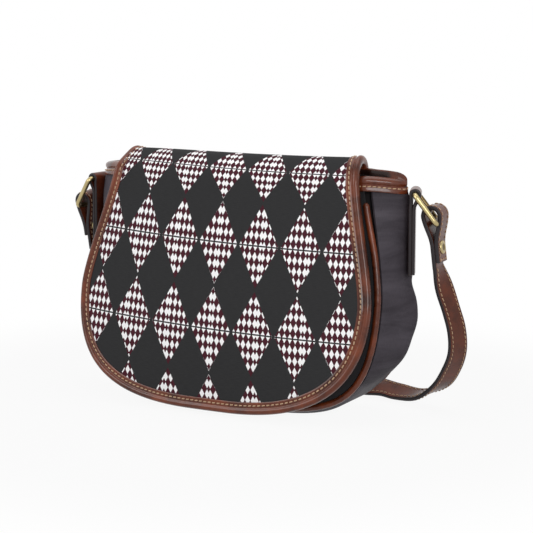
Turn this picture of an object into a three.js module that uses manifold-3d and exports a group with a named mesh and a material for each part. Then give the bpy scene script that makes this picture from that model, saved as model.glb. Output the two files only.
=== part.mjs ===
// A saddle-shaped crossbody bag with a printed flap, in millimetres.
// It stands on z = 0, its front faces -Y, and +X is to the right as seen from the front.
import * as THREE from "three";
import { mergeVertices } from "three/addons/utils/BufferGeometryUtils.js";
import Module from "manifold-3d";

const wasm = await Module();
wasm.setup();

// Front and back walls
const PANEL_HALF_WIDTH = 130.5;
const PANEL_WIDEST_Z = 90;
const PANEL_FOOT_Z = 3.5;
const MOUTH_HALF_WIDTH = 114;
const FABRIC_TOP_Z = 181;
const BASE_HALF_FLAT = 28;
const FRONT_FOOT_Y = -29;
const FRONT_LEAN = 0.154;
const BACK_FOOT_Y = 40;
const BACK_LEAN = -0.127;
const PANEL_THICKNESS = 2.4;
const GAP = 0.3;
const WALL_PULL = { base: 102, corner: 16, side: 112, top: [120, 150] };

// Under the flap the front wall is padded: its middle stands forward of its edges and bows out, and
// the soft lip above it sags between the ends of the mouth
const PAD_FOOT_Y = -40;
const PAD_LEAN = 0.215;
const PAD_MIDDLE = [0, 100];
const PAD_SHOULDER = 0.72;
const PAD_TOP_FADE = [138, 163];
const PANEL_RINGS = [0.1, 0.3, 0.5, PAD_SHOULDER, 0.8, 0.88, 0.95, 1];
const BOW = 16;
const BOW_MIDDLE_Z = 95;
const BOW_LOWER_HEIGHT = 110;
const BOW_UPPER_HEIGHT = 190;
const LIP_SAG = 6.5;
const LIP_SAG_FADE = [110, 171];
const LIP_POINTS = [-0.6, -0.2, 0.2, 0.6];

// Edge piping
const PIPING_RADIUS = 2.3;
const PIPING_LIFT = 0.4;
const PIPING_TOP_Z = 166;

// Gusset: a strip that swells outwards, folds into a fin at each end of the mouth and leans back there
const GUSSET_THICKNESS = 1.8;
const GUSSET_SEAM = 4.2;
const GUSSET_SWELL = 15.5;
const SWELL_RISE = [24, 58];
const GUSSET_WAIST = 6.8;
const WAIST_RISE = [76, 107];
const FIN_SWELL = 11.6;
const FIN_RISE = [104, 176];
const FIN_SWEEP = 12.5;
const SWEEP_RISE = [20, 80];
const FIN_ROUNDING = [110, 175];
const LEVEL_FADE = [60, 140];
const BASE_FADE = [5, 26];
const BASE_FLATNESS = 2.2;
const INNER_DRAW = 0.6;

// Leather facing round the mouth, and the lining below it
const BAND_TOP_Z = 183.4;
const BAND_HEIGHT = 11.5;
const BAND_PROUD = 1.5;
const BAND_ROUND = 1.5;
const BAND_GROOVE_TOP_Z = 181.4;
const BAND_BORE = { side: 4.2, flank: 7, tip: 8 };
const BAND_GROOVE = { side: -0.35, flank: 3.5, tip: -0.5 };
const BAND_TONGUE = { side: 2.9, flank: 5.6, tip: 4 };
const LINING_TOP_Z = 171.6;
const LINING_FOOT_Z = 8.6;
const LINING_LEVELS = [12, 17, 24, 34, 48, 66, 88, 112, 140];
const LINING_WALL = 0.9;
const LINING_OUTSIDE = { side: 4.3, flank: 6.8, tip: 6.5 };
const LINING_INSIDE = { side: 5.2, flank: 7.7, tip: 9.5 };

// Flap
const FLAP_HALF_WIDTH = 128.5;
const FLAP_WIDEST_Z = 88;
const FLAP_FOOT_Z = 4;
const FLAP_HALF_FLAT = 15;
const FLAP_FOLD_HALF_WIDTH = 108.6;
const FLAP_STANDOFF = 5.6;
const FLAP_BACK_STANDOFF = 6.2;
const FLAP_PULL = { base: 88, corner: 27, side: 108, top: [114, 148] };
const FLAP_ROWS = [0, 0.8, 2.4, 5.5, 10.5, 18, 28, 40, 56, 76, 98, 122];
const FLAP_COLUMNS = [-1, -0.93, -0.8, -0.6, -0.4, -0.2, 0, 0.2, 0.4, 0.6, 0.8, 0.93, 1];
const FLAP_FOLD_Z = 150;
const FLAP_FOLD_STEPS = 18;
const FLAP_SHOULDER_Z = 180;
const FLAP_BACK_Z = 176;
const FLAP_EDGE_RISE = 24;
const FLAP_MIDDLE_RISE = 28;
const FLAP_BACK_RISE = 26.5;
const FLAP_BACK_HALF_WIDTH = 101;
const FLAP_LAYER_GAP = 0.55;
const FLAP_OUTER_THICKNESS = 1.8;
const FLAP_LINING_THICKNESS = 1;
const BINDING_THICKNESS = 1.1;
const BINDING_WIDTH = 8.5;
const BINDING_INSIDE_WIDTH = 6.5;
const BINDING_ROUND = 0.8;
const HINGE_Z = 168.5;
const HINGE_CLEAR = 5;
const HINGE_FOLD_DROP = 2.4;
const HINGE_SEAM = 0.5;
const HINGE_INSET = 4;
const ANCHOR_LOW_Z = 140;
const ANCHOR_STANDOFF = 0.4;
const ANCHOR_THICKNESS = 2;

// Magnetic snap
const SNAP_Z = 46;
const SNAP_RADIUS = 9;
const SNAP_HOLE_RADIUS = 3.2;
const SNAP_PIN_RADIUS = 2.8;
const SOCKET_HEIGHT = { foot: 0.3, floor: 0.9, rim: 1.5, top: 2.1 };
const STUD_HEIGHT = { tip: 1.3, foot: 2.4, top: 3.4 };
const SNAP_PLATE_RADIUS = 7.5;
const SOCKET_PLATE_HEIGHT = [-3.5, -2.75];
const STUD_PLATE_HALF = 0.25;

// Tabs, rings and strap ends
const TAB_WIDTH = 20;
const TAB_LENGTH = 62;
const TAB_THICKNESS = 2;
const TAB_TAPER = 12;
const FOLD_DIP = 0.15;
const RING_WIRE_RADIUS = 1.7;
const RING_BORE = 2.1;
const RING_WIDTH = 27;
const RING_LENGTH = 27;
const RING_CORNER = 2.8;
const STRAP_WIDTH = 18;
const STRAP_THICKNESS = 2.6;
const STRAP_LOOP_BORE = 6;
const STRAP_LOOP_LIFT = 3.5;
const STRAP_LOOP_TAPER = 24;
const STRAP_END_LENGTH = 40;
const STRAP_TAIL_LENGTH = 36;
const RIVET_DROP = 29;
const RIVET_HEAD_RADIUS = 4.5;
const RIVET_POST_RADIUS = 1.6;
const RIVET_HEAD_HEIGHT = 1.3;
const RIVET_RIM = 0.3;

// Where each ring's upper bar sits, which way its tab faces, how far its ring swings out, and how the
// strap end hangs from it: turned about its length, swung out, skewed in its own plane and moved in
const SIDES = {
  right: { at: [143, 19.5, 173.7], turn: 22, hang: 37, twist: -18, lean: 7, skew: 0, slack: -0.4 },
  left: { at: [-142.2, 19.5, 169.7], turn: 172, hang: 31, twist: 0, lean: -7, skew: -7, slack: -1.5 },
};

// Strap buckle, which stands on its edge behind the bag
const BUCKLE_AT = [-45, 194, 14];
const BUCKLE_LENGTH = 21;
const BUCKLE_WIDTH = 24;
const BUCKLE_WIRE_RADIUS = 1.6;
const BUCKLE_BORE = 1.9;
const BUCKLE_CORNER = 4;
const BUCKLE_FOLD = { thickness: 2.4, taper: 9, seat: 0, innerLength: 30, outerLength: 26 };
const BUCKLE_SLOT = [12, 4.6, 14];
const PRONG_WIDTH = 3;
const PRONG_THICKNESS = 1.8;
const PRONG_EYE_WALL = 1.3;
const PRONG_TIP = 0.9;
const PRONG_OVERHANG = 2;
const PRONG_HOLE = [13, 16, 5];
const PRONG_HOLE_AT = [-47.5, 194, 14];
const KEEPER_X = -76;
const KEEPER_WIDTH = 8;
const KEEPER_THICKNESS = 1.4;
const KEEPER_INSIDE = { y: [191.2, 202.2], z: [4.4, 23.6] };

// The strap's routes: a point on the centreline, then the direction across the strap there.
const LONG_STRAP_ROUTE = [
  [[161.4, 25.7, 114.6], [-0.07, 1, 0]],
  [[164.6, 27.2, 102], [0.08, 1, 0.03]],
  [[169.2, 30, 85], [0.25, 0.96, 0.08]],
  [[172.2, 34, 68.9], [0.32, 0.94, 0.12]],
  [[172, 39.5, 51], [0.22, 0.96, 0.17]],
  [[164.3, 45.7, 32.6], [0.1, 0.96, 0.25]],
  [[150, 52.4, 16.4], [-0.1, 0.95, 0.3]],
  [[131, 57.6, 7.6], [-0.25, 0.9, 0.34]],
  [[112.2, 62, 4.9], [-0.3, 0.88, 0.36]],
  [[97.2, 64.5, 5.9], [-0.25, 0.84, 0.48]],
  [[78, 65, 8.6], [-0.1, 0.5, 0.86]],
  [[50, 63.6, 9.7], [0, 0.1, 1]],
  [[15, 63, 9.6], [0, 0, 1]],
  [[-25, 63, 9.6], [0, 0, 1]],
  [[-60, 63, 9.6], [0, 0, 1]],
  [[-85, 63.6, 9.6], [0, 0, 1]],
  [[-108, 73, 9.6], [0, 0, 1]],
  [[-118, 96, 9.6], [0, 0, 1]],
  [[-108, 119, 9.6], [0, 0, 1]],
  [[-85, 128.4, 9.6], [0, 0, 1]],
  [[-60, 129, 9.6], [0, 0, 1]],
  [[-30, 129, 9.6], [0, 0, 1]],
  [[-5, 129.6, 9.6], [0, 0, 1]],
  [[18, 139, 9.6], [0, 0, 1]],
  [[28, 162, 9.6], [0, 0, 1]],
  [[18.5, 184, 9.8], [0, 0, 1]],
  [[-3, 192, 11], [0, 0, 1]],
  [[-20, 191.2, 13.2], [0, 0, 1]],
  [[-34.5, 190.3, 14], [0, 0, 1]],
  [[-42, 193.2, 14], [0, 0, 1]],
  [[-49, 198.2, 14], [0, 0, 1]],
  [[-56, 200.6, 14], [0, 0, 1]],
  [[-68, 200.4, 14], [0, 0, 1]],
  [[-82, 199.4, 14], [0, 0, 1]],
  [[-97, 199, 14], [0, 0, 1]],
];
const SHORT_STRAP_ROUTE = [
  [[-147.6, 25.3, 109.7], [0.12, 0.98, 0.12]],
  [[-146.3, 27.4, 96], [0.14, 0.98, 0.13]],
  [[-146.8, 32.5, 78], [0.25, 0.94, 0.22]],
  [[-148.8, 41, 58], [0.45, 0.83, 0.3]],
  [[-151, 53, 40], [0.66, 0.6, 0.42]],
  [[-152.5, 68, 24.5], [0.68, 0.35, 0.64]],
  [[-153, 86, 14.2], [0.5, 0.14, 0.85]],
  [[-153, 105, 10.4], [0.25, 0.05, 0.97]],
  [[-151, 125, 9.8], [0.05, 0, 1]],
  [[-144, 150, 9.8], [0, 0, 1]],
  [[-131, 172, 9.8], [0, 0, 1]],
  [[-113, 187, 11], [0, 0, 1]],
  [[-98, 192.2, 13.2], [0, 0, 1]],
  [[-86.4, 192.8, 14], [0, 0, 1]],
];

const bag = new THREE.Group();
const vec2 = (x, y) => new THREE.Vector2(x, y);
const vec3 = (x, y, z) => new THREE.Vector3(x, y, z);
const radians = THREE.MathUtils.degToRad;
const smooth = ([low, high], x) => THREE.MathUtils.smoothstep(x, low, high);
const lerp = THREE.MathUtils.lerp;

const charcoal = () => new THREE.MeshStandardMaterial({ color: 0x343436, roughness: 0.85 });
const nylon = () => new THREE.MeshStandardMaterial({ color: 0x454147, roughness: 0.8 });
const brownLeather = () => new THREE.MeshStandardMaterial({ color: 0x6b3e2e, roughness: 0.4 });
const darkCloth = () => new THREE.MeshStandardMaterial({ color: 0x1c1a1b, roughness: 0.9 });
const brass = () => new THREE.MeshStandardMaterial({ color: 0xb09a6a, roughness: 0.3, metalness: 1 });
const steel = () => new THREE.MeshStandardMaterial({ color: 0x8c8c8a, roughness: 0.35, metalness: 1 });

function place(name, geometry, material, parent = bag) {
  const mesh = new THREE.Mesh(geometry, material);
  mesh.name = name;
  parent.add(mesh);
  return mesh;
}

// Turns every triangle round if the closed surface encloses a negative volume.
function facingOut(geometry) {
  const p = geometry.attributes.position;
  const index = geometry.index.array;
  const [a, b, c] = [vec3(), vec3(), vec3()];
  let volume = 0;
  for (let i = 0; i < index.length; i += 3) {
    a.fromBufferAttribute(p, index[i]);
    b.fromBufferAttribute(p, index[i + 1]);
    c.fromBufferAttribute(p, index[i + 2]);
    volume += a.dot(b.cross(c));
  }
  if (volume < 0) {
    for (let i = 0; i < index.length; i += 3) {
      const kept = index[i + 1];
      index[i + 1] = index[i + 2];
      index[i + 2] = kept;
    }
  }
  return geometry;
}

// Triangles that fill one ring of points, turned the same way as the ring.
function capTriangles(ring) {
  const normal = vec3();
  ring.forEach((p, i) => {
    const q = ring[(i + 1) % ring.length];
    normal.x += (p.y - q.y) * (p.z + q.z);
    normal.y += (p.z - q.z) * (p.x + q.x);
    normal.z += (p.x - q.x) * (p.y + q.y);
  });
  normal.normalize();
  const turned = new THREE.Quaternion().setFromUnitVectors(normal, vec3(0, 0, 1));
  const flat = ring.map((p) => p.clone().applyQuaternion(turned)).map((p) => vec2(p.x, p.y));
  return THREE.ShapeUtils.triangulateShape(flat, []).map(([i, j, k]) => {
    const area = vec2().subVectors(flat[j], flat[i]).cross(vec2().subVectors(flat[k], flat[i]));
    return area < 0 ? [i, k, j] : [i, j, k];
  });
}

// Triangles that fill a long thin ring by joining its point j to its point count - start - j.
function zipTriangles(ring, start) {
  const count = ring.length;
  const facing = (j) => (count - start - j + count) % count;
  const triangles = [];
  for (let j = 0; j < Math.floor(count / 2); j++) {
    const [a, b, c, d] = [j, j + 1, facing(j + 1), facing(j)];
    if (a !== d) triangles.push([a, b, d]);
    if (b !== c) triangles.push([b, c, d]);
  }
  return triangles;
}

// A solid that joins equal rings of points, with a cap at each end or, when looped, none.
function loft(rings, looped = false, cap = capTriangles) {
  const count = rings[0].length;
  const index = [];
  const spans = looped ? rings.length : rings.length - 1;
  for (let i = 0; i < spans; i++) {
    const here = i * count;
    const next = ((i + 1) % rings.length) * count;
    for (let j = 0; j < count; j++) {
      const k = (j + 1) % count;
      index.push(here + j, here + k, next + k);
      index.push(here + j, next + k, next + j);
    }
  }
  if (!looped) {
    const end = (rings.length - 1) * count;
    cap(rings[0]).forEach(([i, j, k]) => index.push(i, k, j));
    cap(rings.at(-1)).forEach(([i, j, k]) => index.push(end + i, end + j, end + k));
  }
  const geometry = new THREE.BufferGeometry();
  const positions = rings.flat().flatMap((p) => [p.x, p.y, p.z]);
  geometry.setAttribute("position", new THREE.Float32BufferAttribute(positions, 3));
  geometry.setIndex(index);
  return facingOut(geometry);
}

// A sheet with thickness: each ring runs along one face and back along the other.
const slab = (rings) => loft(rings, false, (ring) => zipTriangles(ring, 1));

function solid(geometry) {
  const bare = geometry.clone();
  bare.deleteAttribute("normal");
  bare.deleteAttribute("uv");
  const merged = mergeVertices(bare, 1e-4);
  const triVerts = new Uint32Array(merged.index.array);
  const vertProperties = merged.attributes.position.array;
  return new wasm.Manifold(new wasm.Mesh({ numProp: 3, vertProperties, triVerts }));
}

function geometryOf(manifold) {
  const mesh = manifold.getMesh();
  const geometry = new THREE.BufferGeometry();
  geometry.setAttribute("position", new THREE.BufferAttribute(mesh.vertProperties, 3));
  geometry.setIndex(new THREE.BufferAttribute(mesh.triVerts, 1));
  return geometry;
}

const cut = (body, ...tools) =>
  geometryOf(tools.reduce((kept, tool) => kept.subtract(solid(tool)), solid(body)));

const join = (body, ...others) =>
  geometryOf(others.reduce((kept, other) => kept.add(solid(other)), solid(body)));

// Right half of an outline: a round lower corner from the flat base, then a side that tapers upwards.
function outlineOf(start, widest, top, pull) {
  return {
    corner: new THREE.CubicBezierCurve(start, vec2(pull.base, start.y), vec2(widest.x, pull.corner), widest),
    side: new THREE.CubicBezierCurve(widest, vec2(widest.x, pull.side), vec2(...pull.top), top),
  };
}

const wallOutline = outlineOf(
  vec2(BASE_HALF_FLAT, PANEL_FOOT_Z),
  vec2(PANEL_HALF_WIDTH, PANEL_WIDEST_Z),
  vec2(MOUTH_HALF_WIDTH, FABRIC_TOP_Z),
  WALL_PULL,
);

// The flap's outline is a little smaller and rounder than the walls'.
const flapOutline = outlineOf(
  vec2(FLAP_HALF_FLAT, FLAP_FOOT_Z),
  vec2(FLAP_HALF_WIDTH, FLAP_WIDEST_Z),
  vec2(FLAP_FOLD_HALF_WIDTH, FLAP_SHOULDER_Z),
  FLAP_PULL,
);

// Stations up the right half of an outline, moved inwards, each with its outward normal.
function rightOutline(outline, inset, cornerSteps = 16, sideSteps = 10) {
  const stations = [{ x: 0, z: outline.corner.v0.y + inset, nx: 0, nz: -1 }];
  const add = (curve, t) => {
    const p = curve.getPoint(t);
    const tangent = curve.getTangent(t);
    const [nx, nz] = [tangent.y, -tangent.x];
    stations.push({ x: p.x - nx * inset, z: p.y - nz * inset, nx, nz });
  };
  for (let i = 0; i <= cornerSteps; i++) add(outline.corner, i / cornerSteps);
  for (let i = 1; i <= sideSteps; i++) add(outline.side, i / sideSteps);
  return stations;
}

// The walls' whole outline from the right top, round the base, to the left top.
function fullOutline(inset, topZ = Infinity) {
  const right = rightOutline(wallOutline, inset, 13, 9).filter((s) => s.z <= topZ);
  const left = right.slice(1).map((s) => ({ ...s, x: -s.x, nx: -s.nx }));
  return [...right.reverse(), ...left];
}

// Half an outline's width at a height, run on in a straight line past its ends.
function halfWidthAt(outline, z, inset) {
  const stations = rightOutline(outline, inset, 32, 20);
  let i = stations.findIndex((s) => s.z > z + 1e-9);
  if (i < 0) i = stations.length - 1;
  const [a, b] = [stations[Math.max(i - 1, 1)], stations[Math.max(i, 2)]];
  return lerp(a.x, b.x, (z - a.z) / (b.z - a.z));
}

const frontY = (z) => FRONT_FOOT_Y + FRONT_LEAN * z;
const padY = (z) => PAD_FOOT_Y + PAD_LEAN * z;
const backY = (z) => BACK_FOOT_Y + BACK_LEAN * z;
const frontNormal = vec3(0, -1, FRONT_LEAN).normalize();
const backNormal = vec3(0, 1, -BACK_LEAN).normalize();

// How far the front bows forward in its middle at a height, how fast that grows, and how wide it is.
const bowHeight = (z) => (z < BOW_MIDDLE_Z ? BOW_LOWER_HEIGHT : BOW_UPPER_HEIGHT);
const bowAt = (z) => BOW * Math.max(1 - ((z - BOW_MIDDLE_Z) / bowHeight(z)) ** 2, 0);
const bowGrowth = (z) => (-2 * BOW * (z - BOW_MIDDLE_Z)) / bowHeight(z) ** 2;
const bowHalf = (z) => (z < FLAP_WIDEST_Z ? FLAP_HALF_WIDTH : halfWidthAt(flapOutline, z, 0));
const bowShare = (x, half) => 1 - (x / half) ** 2;
const bowedY = (x, z) => padY(z) - bowAt(z) * Math.max(bowShare(x, bowHalf(z)), 0);

// A wall inside its piping: its edge lies on edgeY, and from there it swells to middleY. The top edge
// of a wall with a sag hangs down between its ends.
function panel(edgeY, middleY, normal, sag) {
  const inset = PIPING_LIFT + 2 * PIPING_RADIUS + GAP;
  const sides = fullOutline(inset, FABRIC_TOP_Z);
  const end = sides[0];
  const top = LIP_POINTS.map((f) => ({ x: f * end.x, z: end.z - sag * bowShare(f, 1) }));
  const [middleX, middleZ] = PAD_MIDDLE;
  const ring = (scale, depth) =>
    [...sides, ...top].map((s) => {
      const [x, z] = [lerp(middleX, s.x, scale), lerp(middleZ, s.z, scale)];
      const flattened = Math.max(smooth([PAD_SHOULDER, 1], scale), smooth(PAD_TOP_FADE, z));
      const y = lerp(middleY(x, z), edgeY(z), flattened);
      return vec3(x, y, z).addScaledVector(normal, -depth);
    });
  return loft([
    ...PANEL_RINGS.map((scale) => ring(scale, 0)),
    ...PANEL_RINGS.toReversed().map((scale) => ring(scale, PANEL_THICKNESS)),
  ]);
}

// A round cord round the wall's edge, centred on the wall's thickness.
function piping(wallY, normal) {
  const inset = PIPING_LIFT + PIPING_RADIUS;
  const top = { x: halfWidthAt(wallOutline, PIPING_TOP_Z, inset), z: PIPING_TOP_Z };
  const stations = [top, ...fullOutline(inset, PIPING_TOP_Z - 2), { x: -top.x, z: top.z }];
  const middle = normal.clone().multiplyScalar(-PANEL_THICKNESS / 2);
  const path = new THREE.CatmullRomCurve3(stations.map((s) => vec3(s.x, wallY(s.z), s.z).add(middle)));
  const section = new THREE.Shape().absarc(0, 0, PIPING_RADIUS, 0, 2 * Math.PI);
  return new THREE.ExtrudeGeometry(section, { steps: 48, curveSegments: 4, extrudePath: path });
}

// How far the gusset stands out at a height, and how far its ridge leans back.
const swell = (z) =>
  GUSSET_SWELL * smooth(SWELL_RISE, z) - GUSSET_WAIST * smooth(WAIST_RISE, z) + FIN_SWELL * smooth(FIN_RISE, z);
const lean = (z) => (FIN_SWEEP * smooth(SWEEP_RISE, z)) / Math.max(swell(z), 1);

// The swell across the gusset: a shallow arch low down, nearly half an ellipse at the fin.
const arch = (v, z) => Math.max(1 - (2 * v - 1) ** 2, 0) ** (1 - smooth(FIN_ROUNDING, z) / 2);

// The base hangs below the walls' edges and is flat across its middle, where the bag stands.
const baseDrop = (v, z) =>
  PANEL_FOOT_Z * Math.min(BASE_FLATNESS * arch(v, 0), 1) * (1 - smooth(BASE_FADE, z));

function gussetPoint(station, v, depth) {
  const { x, z, nx, nz } = station;
  const out = vec2(nx, nz * (1 - smooth(LEVEL_FADE, z))).normalize();
  const drawn = INNER_DRAW * depth * smooth(SWELL_RISE, z);
  const reach = (swell(z) - drawn) * arch(v, z) + baseDrop(v, z);
  const low = frontY(z) + GUSSET_SEAM + depth / 2;
  const high = backY(z) - GUSSET_SEAM - depth / 2;
  const y = lerp(low, high, v) + lean(z) * reach;
  return vec3(x - nx * depth + out.x * reach, y, z - nz * depth + out.y * reach);
}

function gusset() {
  const steps = 10;
  const across = Array.from({ length: steps + 1 }, (_, i) => (1 - Math.cos((Math.PI * i) / steps)) / 2);
  const rings = fullOutline(0).map((station) => [
    ...across.map((v) => gussetPoint(station, v, 0)),
    ...across.toReversed().map((v) => gussetPoint(station, v, GUSSET_THICKNESS)),
  ]);
  return slab(rings);
}

// A level ring round the bag at height z, from the left fin's tip: side, flank and tip say how far in
// from the cloth's outside it runs along the walls, along the fins' flanks and at the fins' tips. Near
// the mouth the front's middle sags.
function levelRing(z, { side, flank, tip }) {
  const width = halfWidthAt(wallOutline, z, side);
  const back = backY(z) - side;
  const corner = GUSSET_SEAM + 1;
  const steps = 12;
  const across = Array.from({ length: steps + 1 }, (_, i) => (1 - Math.cos((Math.PI * i) / steps)) / 2);
  const along = [-1, ...LIP_POINTS, 1];
  const sag = LIP_SAG * smooth(LIP_SAG_FADE, z);
  const front = along.map((f) => {
    const low = z - sag * bowShare(f, 1);
    return vec3(f * (width - corner), frontY(low) + side, low);
  });
  const right = across.map((v) => {
    const reach = Math.max(swell(z) - tip, 0) * arch(v, z);
    const y = lerp(frontY(z) + flank, backY(z) - flank, v) + lean(z) * reach;
    return vec3(width + reach, y, z);
  });
  const left = right.toReversed().map((p) => vec3(-p.x, p.y, p.z));
  return [
    ...left.slice(steps / 2),
    ...front,
    ...right,
    ...along.map((f) => vec3(-f * (width - corner), back, z)),
    ...left.slice(0, steps / 2),
  ];
}

const tubeOf = (rings) => loft(rings, false, (ring) => zipTriangles(ring, 0));
const tube = (levels, sizes) => tubeOf(levels.map((z) => levelRing(z, sizes)));

// The facing is folded over the cloth's top edge, so a groove for the cloth opens downwards, and its
// outer top corner is rounded off.
function mouthBand() {
  const low = BAND_TOP_Z - BAND_HEIGHT;
  const clear = 2;
  const proud = { side: -BAND_PROUD, flank: GUSSET_SEAM - BAND_PROUD, tip: 0 };
  const drawnIn = {
    side: proud.side + BAND_ROUND,
    flank: proud.flank + BAND_ROUND,
    tip: proud.tip + BAND_ROUND,
  };
  const body = tubeOf([
    levelRing(low, proud),
    levelRing(BAND_TOP_Z - BAND_ROUND, proud),
    levelRing(BAND_TOP_Z, drawnIn),
  ]);
  const bore = tube([low - clear, BAND_TOP_Z + clear], BAND_BORE);
  const groove = tube([low - clear, BAND_GROOVE_TOP_Z], BAND_GROOVE);
  const tongue = tube([low - 2 * clear, BAND_TOP_Z + clear], BAND_TONGUE);
  return cut(body, bore, cut(groove, tongue));
}

function lining() {
  const clear = 2;
  const outer = tube([LINING_FOOT_Z, ...LINING_LEVELS, LINING_TOP_Z], LINING_OUTSIDE);
  const hollow = tube([LINING_FOOT_Z + LINING_WALL, ...LINING_LEVELS, LINING_TOP_Z + clear], LINING_INSIDE);
  return cut(outer, hollow);
}

// A row of the flap: its places in the YZ plane at its edges and in its middle, the ways it runs there,
// and half its width. On the front it lies off the padded wall and bows with it.
function frontRow(z) {
  const edge = vec2(padY(z) - FLAP_STANDOFF, z);
  return {
    edge,
    edgeWay: vec2(PAD_LEAN, 1),
    middle: vec2(edge.x - bowAt(z), z),
    middleWay: vec2(PAD_LEAN - bowGrowth(z), 1),
    half: halfWidthAt(flapOutline, z, 0),
    bowHalf: bowHalf(z),
  };
}

// Rows over the top fold to the back leg. The bound edges and the bowed middle both run straight up to
// the shoulder, then turn over and down to the seam.
function foldRows() {
  const descent = vec2(-BACK_LEAN, -1).normalize();
  const start = frontRow(FLAP_FOLD_Z);
  const shoulder = frontRow(FLAP_SHOULDER_Z);
  const backAt = (z) => vec2(backY(z) + FLAP_BACK_STANDOFF, z);
  const back = backAt(FLAP_BACK_Z);
  const over = (low, high, way, rise) => {
    const path = new THREE.CurvePath();
    path.add(new THREE.LineCurve(low, high));
    path.add(
      new THREE.CubicBezierCurve(
        high,
        high.clone().addScaledVector(way.clone().normalize(), rise),
        back.clone().addScaledVector(descent, -FLAP_BACK_RISE),
        back,
      ),
    );
    return path;
  };
  const edge = over(start.edge, shoulder.edge, shoulder.edgeWay, FLAP_EDGE_RISE);
  const middle = over(start.middle, shoulder.middle, shoulder.middleWay, FLAP_MIDDLE_RISE);
  const uprightShare = edge.curves[0].getLength() / edge.getLength();
  const rows = Array.from({ length: FLAP_FOLD_STEPS + 1 }, (_, i) => {
    const u = i / FLAP_FOLD_STEPS;
    const at = edge.getPoint(u);
    const turned = (u - uprightShare) / (1 - uprightShare);
    const half =
      turned < 0
        ? halfWidthAt(flapOutline, at.y, 0)
        : lerp(FLAP_FOLD_HALF_WIDTH, FLAP_BACK_HALF_WIDTH, turned);
    return {
      edge: at,
      edgeWay: edge.getTangent(u),
      middle: middle.getPoint(u),
      middleWay: middle.getTangent(u),
      half,
      bowHalf: half,
    };
  });
  const foot = backAt(HINGE_Z + HINGE_CLEAR);
  const half = FLAP_BACK_HALF_WIDTH;
  rows.push({ edge: foot, edgeWay: descent, middle: foot, middleWay: descent, half, bowHalf: half });
  return rows;
}

// The flap's middle surface at x on a row: the place, the ways across and along it, and the normal.
function flapFrame(row, x) {
  const share = bowShare(x, row.bowHalf);
  const place = row.edge.clone().lerp(row.middle, share);
  const way = row.edgeWay.clone().lerp(row.middleWay, share);
  const shift = row.middle.clone().sub(row.edge).multiplyScalar((-2 * x) / row.bowHalf ** 2);
  const across = vec3(1, shift.x, shift.y);
  const along = vec3(0, way.x, way.y);
  return { at: vec3(x, place.x, place.y), across, along, normal: across.clone().cross(along).normalize() };
}

// One layer of the flap between two heights above its middle surface.
function flapLayer(low, high) {
  const inset = BINDING_THICKNESS + GAP;
  const front = FLAP_ROWS.map((rise) => {
    const z = FLAP_FOOT_Z + inset + rise;
    return { ...frontRow(z), half: halfWidthAt(flapOutline, z, inset) };
  });
  const fold = foldRows().map((row) => ({ ...row, half: row.half - inset }));
  const points = (row, lift) =>
    FLAP_COLUMNS.map((c) => {
      const { at, normal } = flapFrame(row, c * row.half);
      return at.addScaledVector(normal, lift);
    });
  return slab([...front, ...fold].map((row) => [...points(row, high), ...points(row, low).toReversed()]));
}

// The binding's path, with its outward direction in the flap's surface and the surface's normal.
function bindingPath() {
  const folded = foldRows().map((row) => {
    const { at, across, normal } = flapFrame(row, row.half);
    return { at, out: across.normalize(), normal };
  });
  const flat = rightOutline(flapOutline, 0)
    .filter((s) => s.z < FLAP_FOLD_Z - BINDING_WIDTH / 2)
    .map((s) => {
      const { at, across, along, normal } = flapFrame(frontRow(s.z), s.x);
      const out = across.multiplyScalar(s.nx).addScaledVector(along, s.nz).normalize();
      return { at, out, normal };
    });
  const right = [...flat, ...folded];
  const mirror = (v) => vec3(-v.x, v.y, v.z);
  const left = right
    .slice(1)
    .map((s) => ({ at: mirror(s.at), out: mirror(s.out), normal: mirror(s.normal) }));
  return [...right.reverse(), ...left];
}

// The binding is folded round the flap's edge: a long leg outside, a shorter one inside.
function flapBinding() {
  const outerLow = FLAP_LAYER_GAP + FLAP_OUTER_THICKNESS + GAP;
  const innerHigh = -FLAP_LAYER_GAP - FLAP_LINING_THICKNESS - GAP;
  const section = [
    [-BINDING_WIDTH, outerLow],
    [-BINDING_THICKNESS, outerLow],
    [-BINDING_THICKNESS, innerHigh],
    [-BINDING_INSIDE_WIDTH, innerHigh],
    [-BINDING_INSIDE_WIDTH, innerHigh - BINDING_THICKNESS],
    [-BINDING_ROUND, innerHigh - BINDING_THICKNESS],
    [0, innerHigh],
    [0, outerLow],
    [-BINDING_ROUND, outerLow + BINDING_THICKNESS],
    [-BINDING_WIDTH, outerLow + BINDING_THICKNESS],
  ];
  const rings = bindingPath().map(({ at, out, normal }) =>
    section.map(([e, n]) => at.clone().addScaledVector(out, e).addScaledVector(normal, n)),
  );
  return loft(rings);
}

// A strip that runs across the back, from rows of height, nearest face and farthest face.
function backStrip(rows) {
  const half = FLAP_BACK_HALF_WIDTH - HINGE_INSET;
  return loft(
    rows.map(([z, near, far]) => [
      vec3(-half, backY(z) + near, z),
      vec3(half, backY(z) + near, z),
      vec3(half, backY(z) + far, z),
      vec3(-half, backY(z) + far, z),
    ]),
  );
}

function flapHingeFold() {
  const [top, foot] = [HINGE_Z + HINGE_CLEAR - GAP, HINGE_Z - HINGE_CLEAR + HINGE_SEAM + GAP];
  const row = (z, near) => [z, near, near + ANCHOR_THICKNESS];
  return backStrip([
    row(foot, ANCHOR_STANDOFF),
    row(HINGE_Z, FLAP_BACK_STANDOFF - HINGE_FOLD_DROP),
    row(top, FLAP_BACK_STANDOFF - 2 * GAP),
  ]);
}

function flapAnchor() {
  const far = ANCHOR_STANDOFF + ANCHOR_THICKNESS;
  const top = HINGE_Z - HINGE_CLEAR + HINGE_SEAM;
  return backStrip([
    [ANCHOR_LOW_Z, ANCHOR_STANDOFF, far],
    [top, ANCHOR_STANDOFF, far],
  ]);
}

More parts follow.
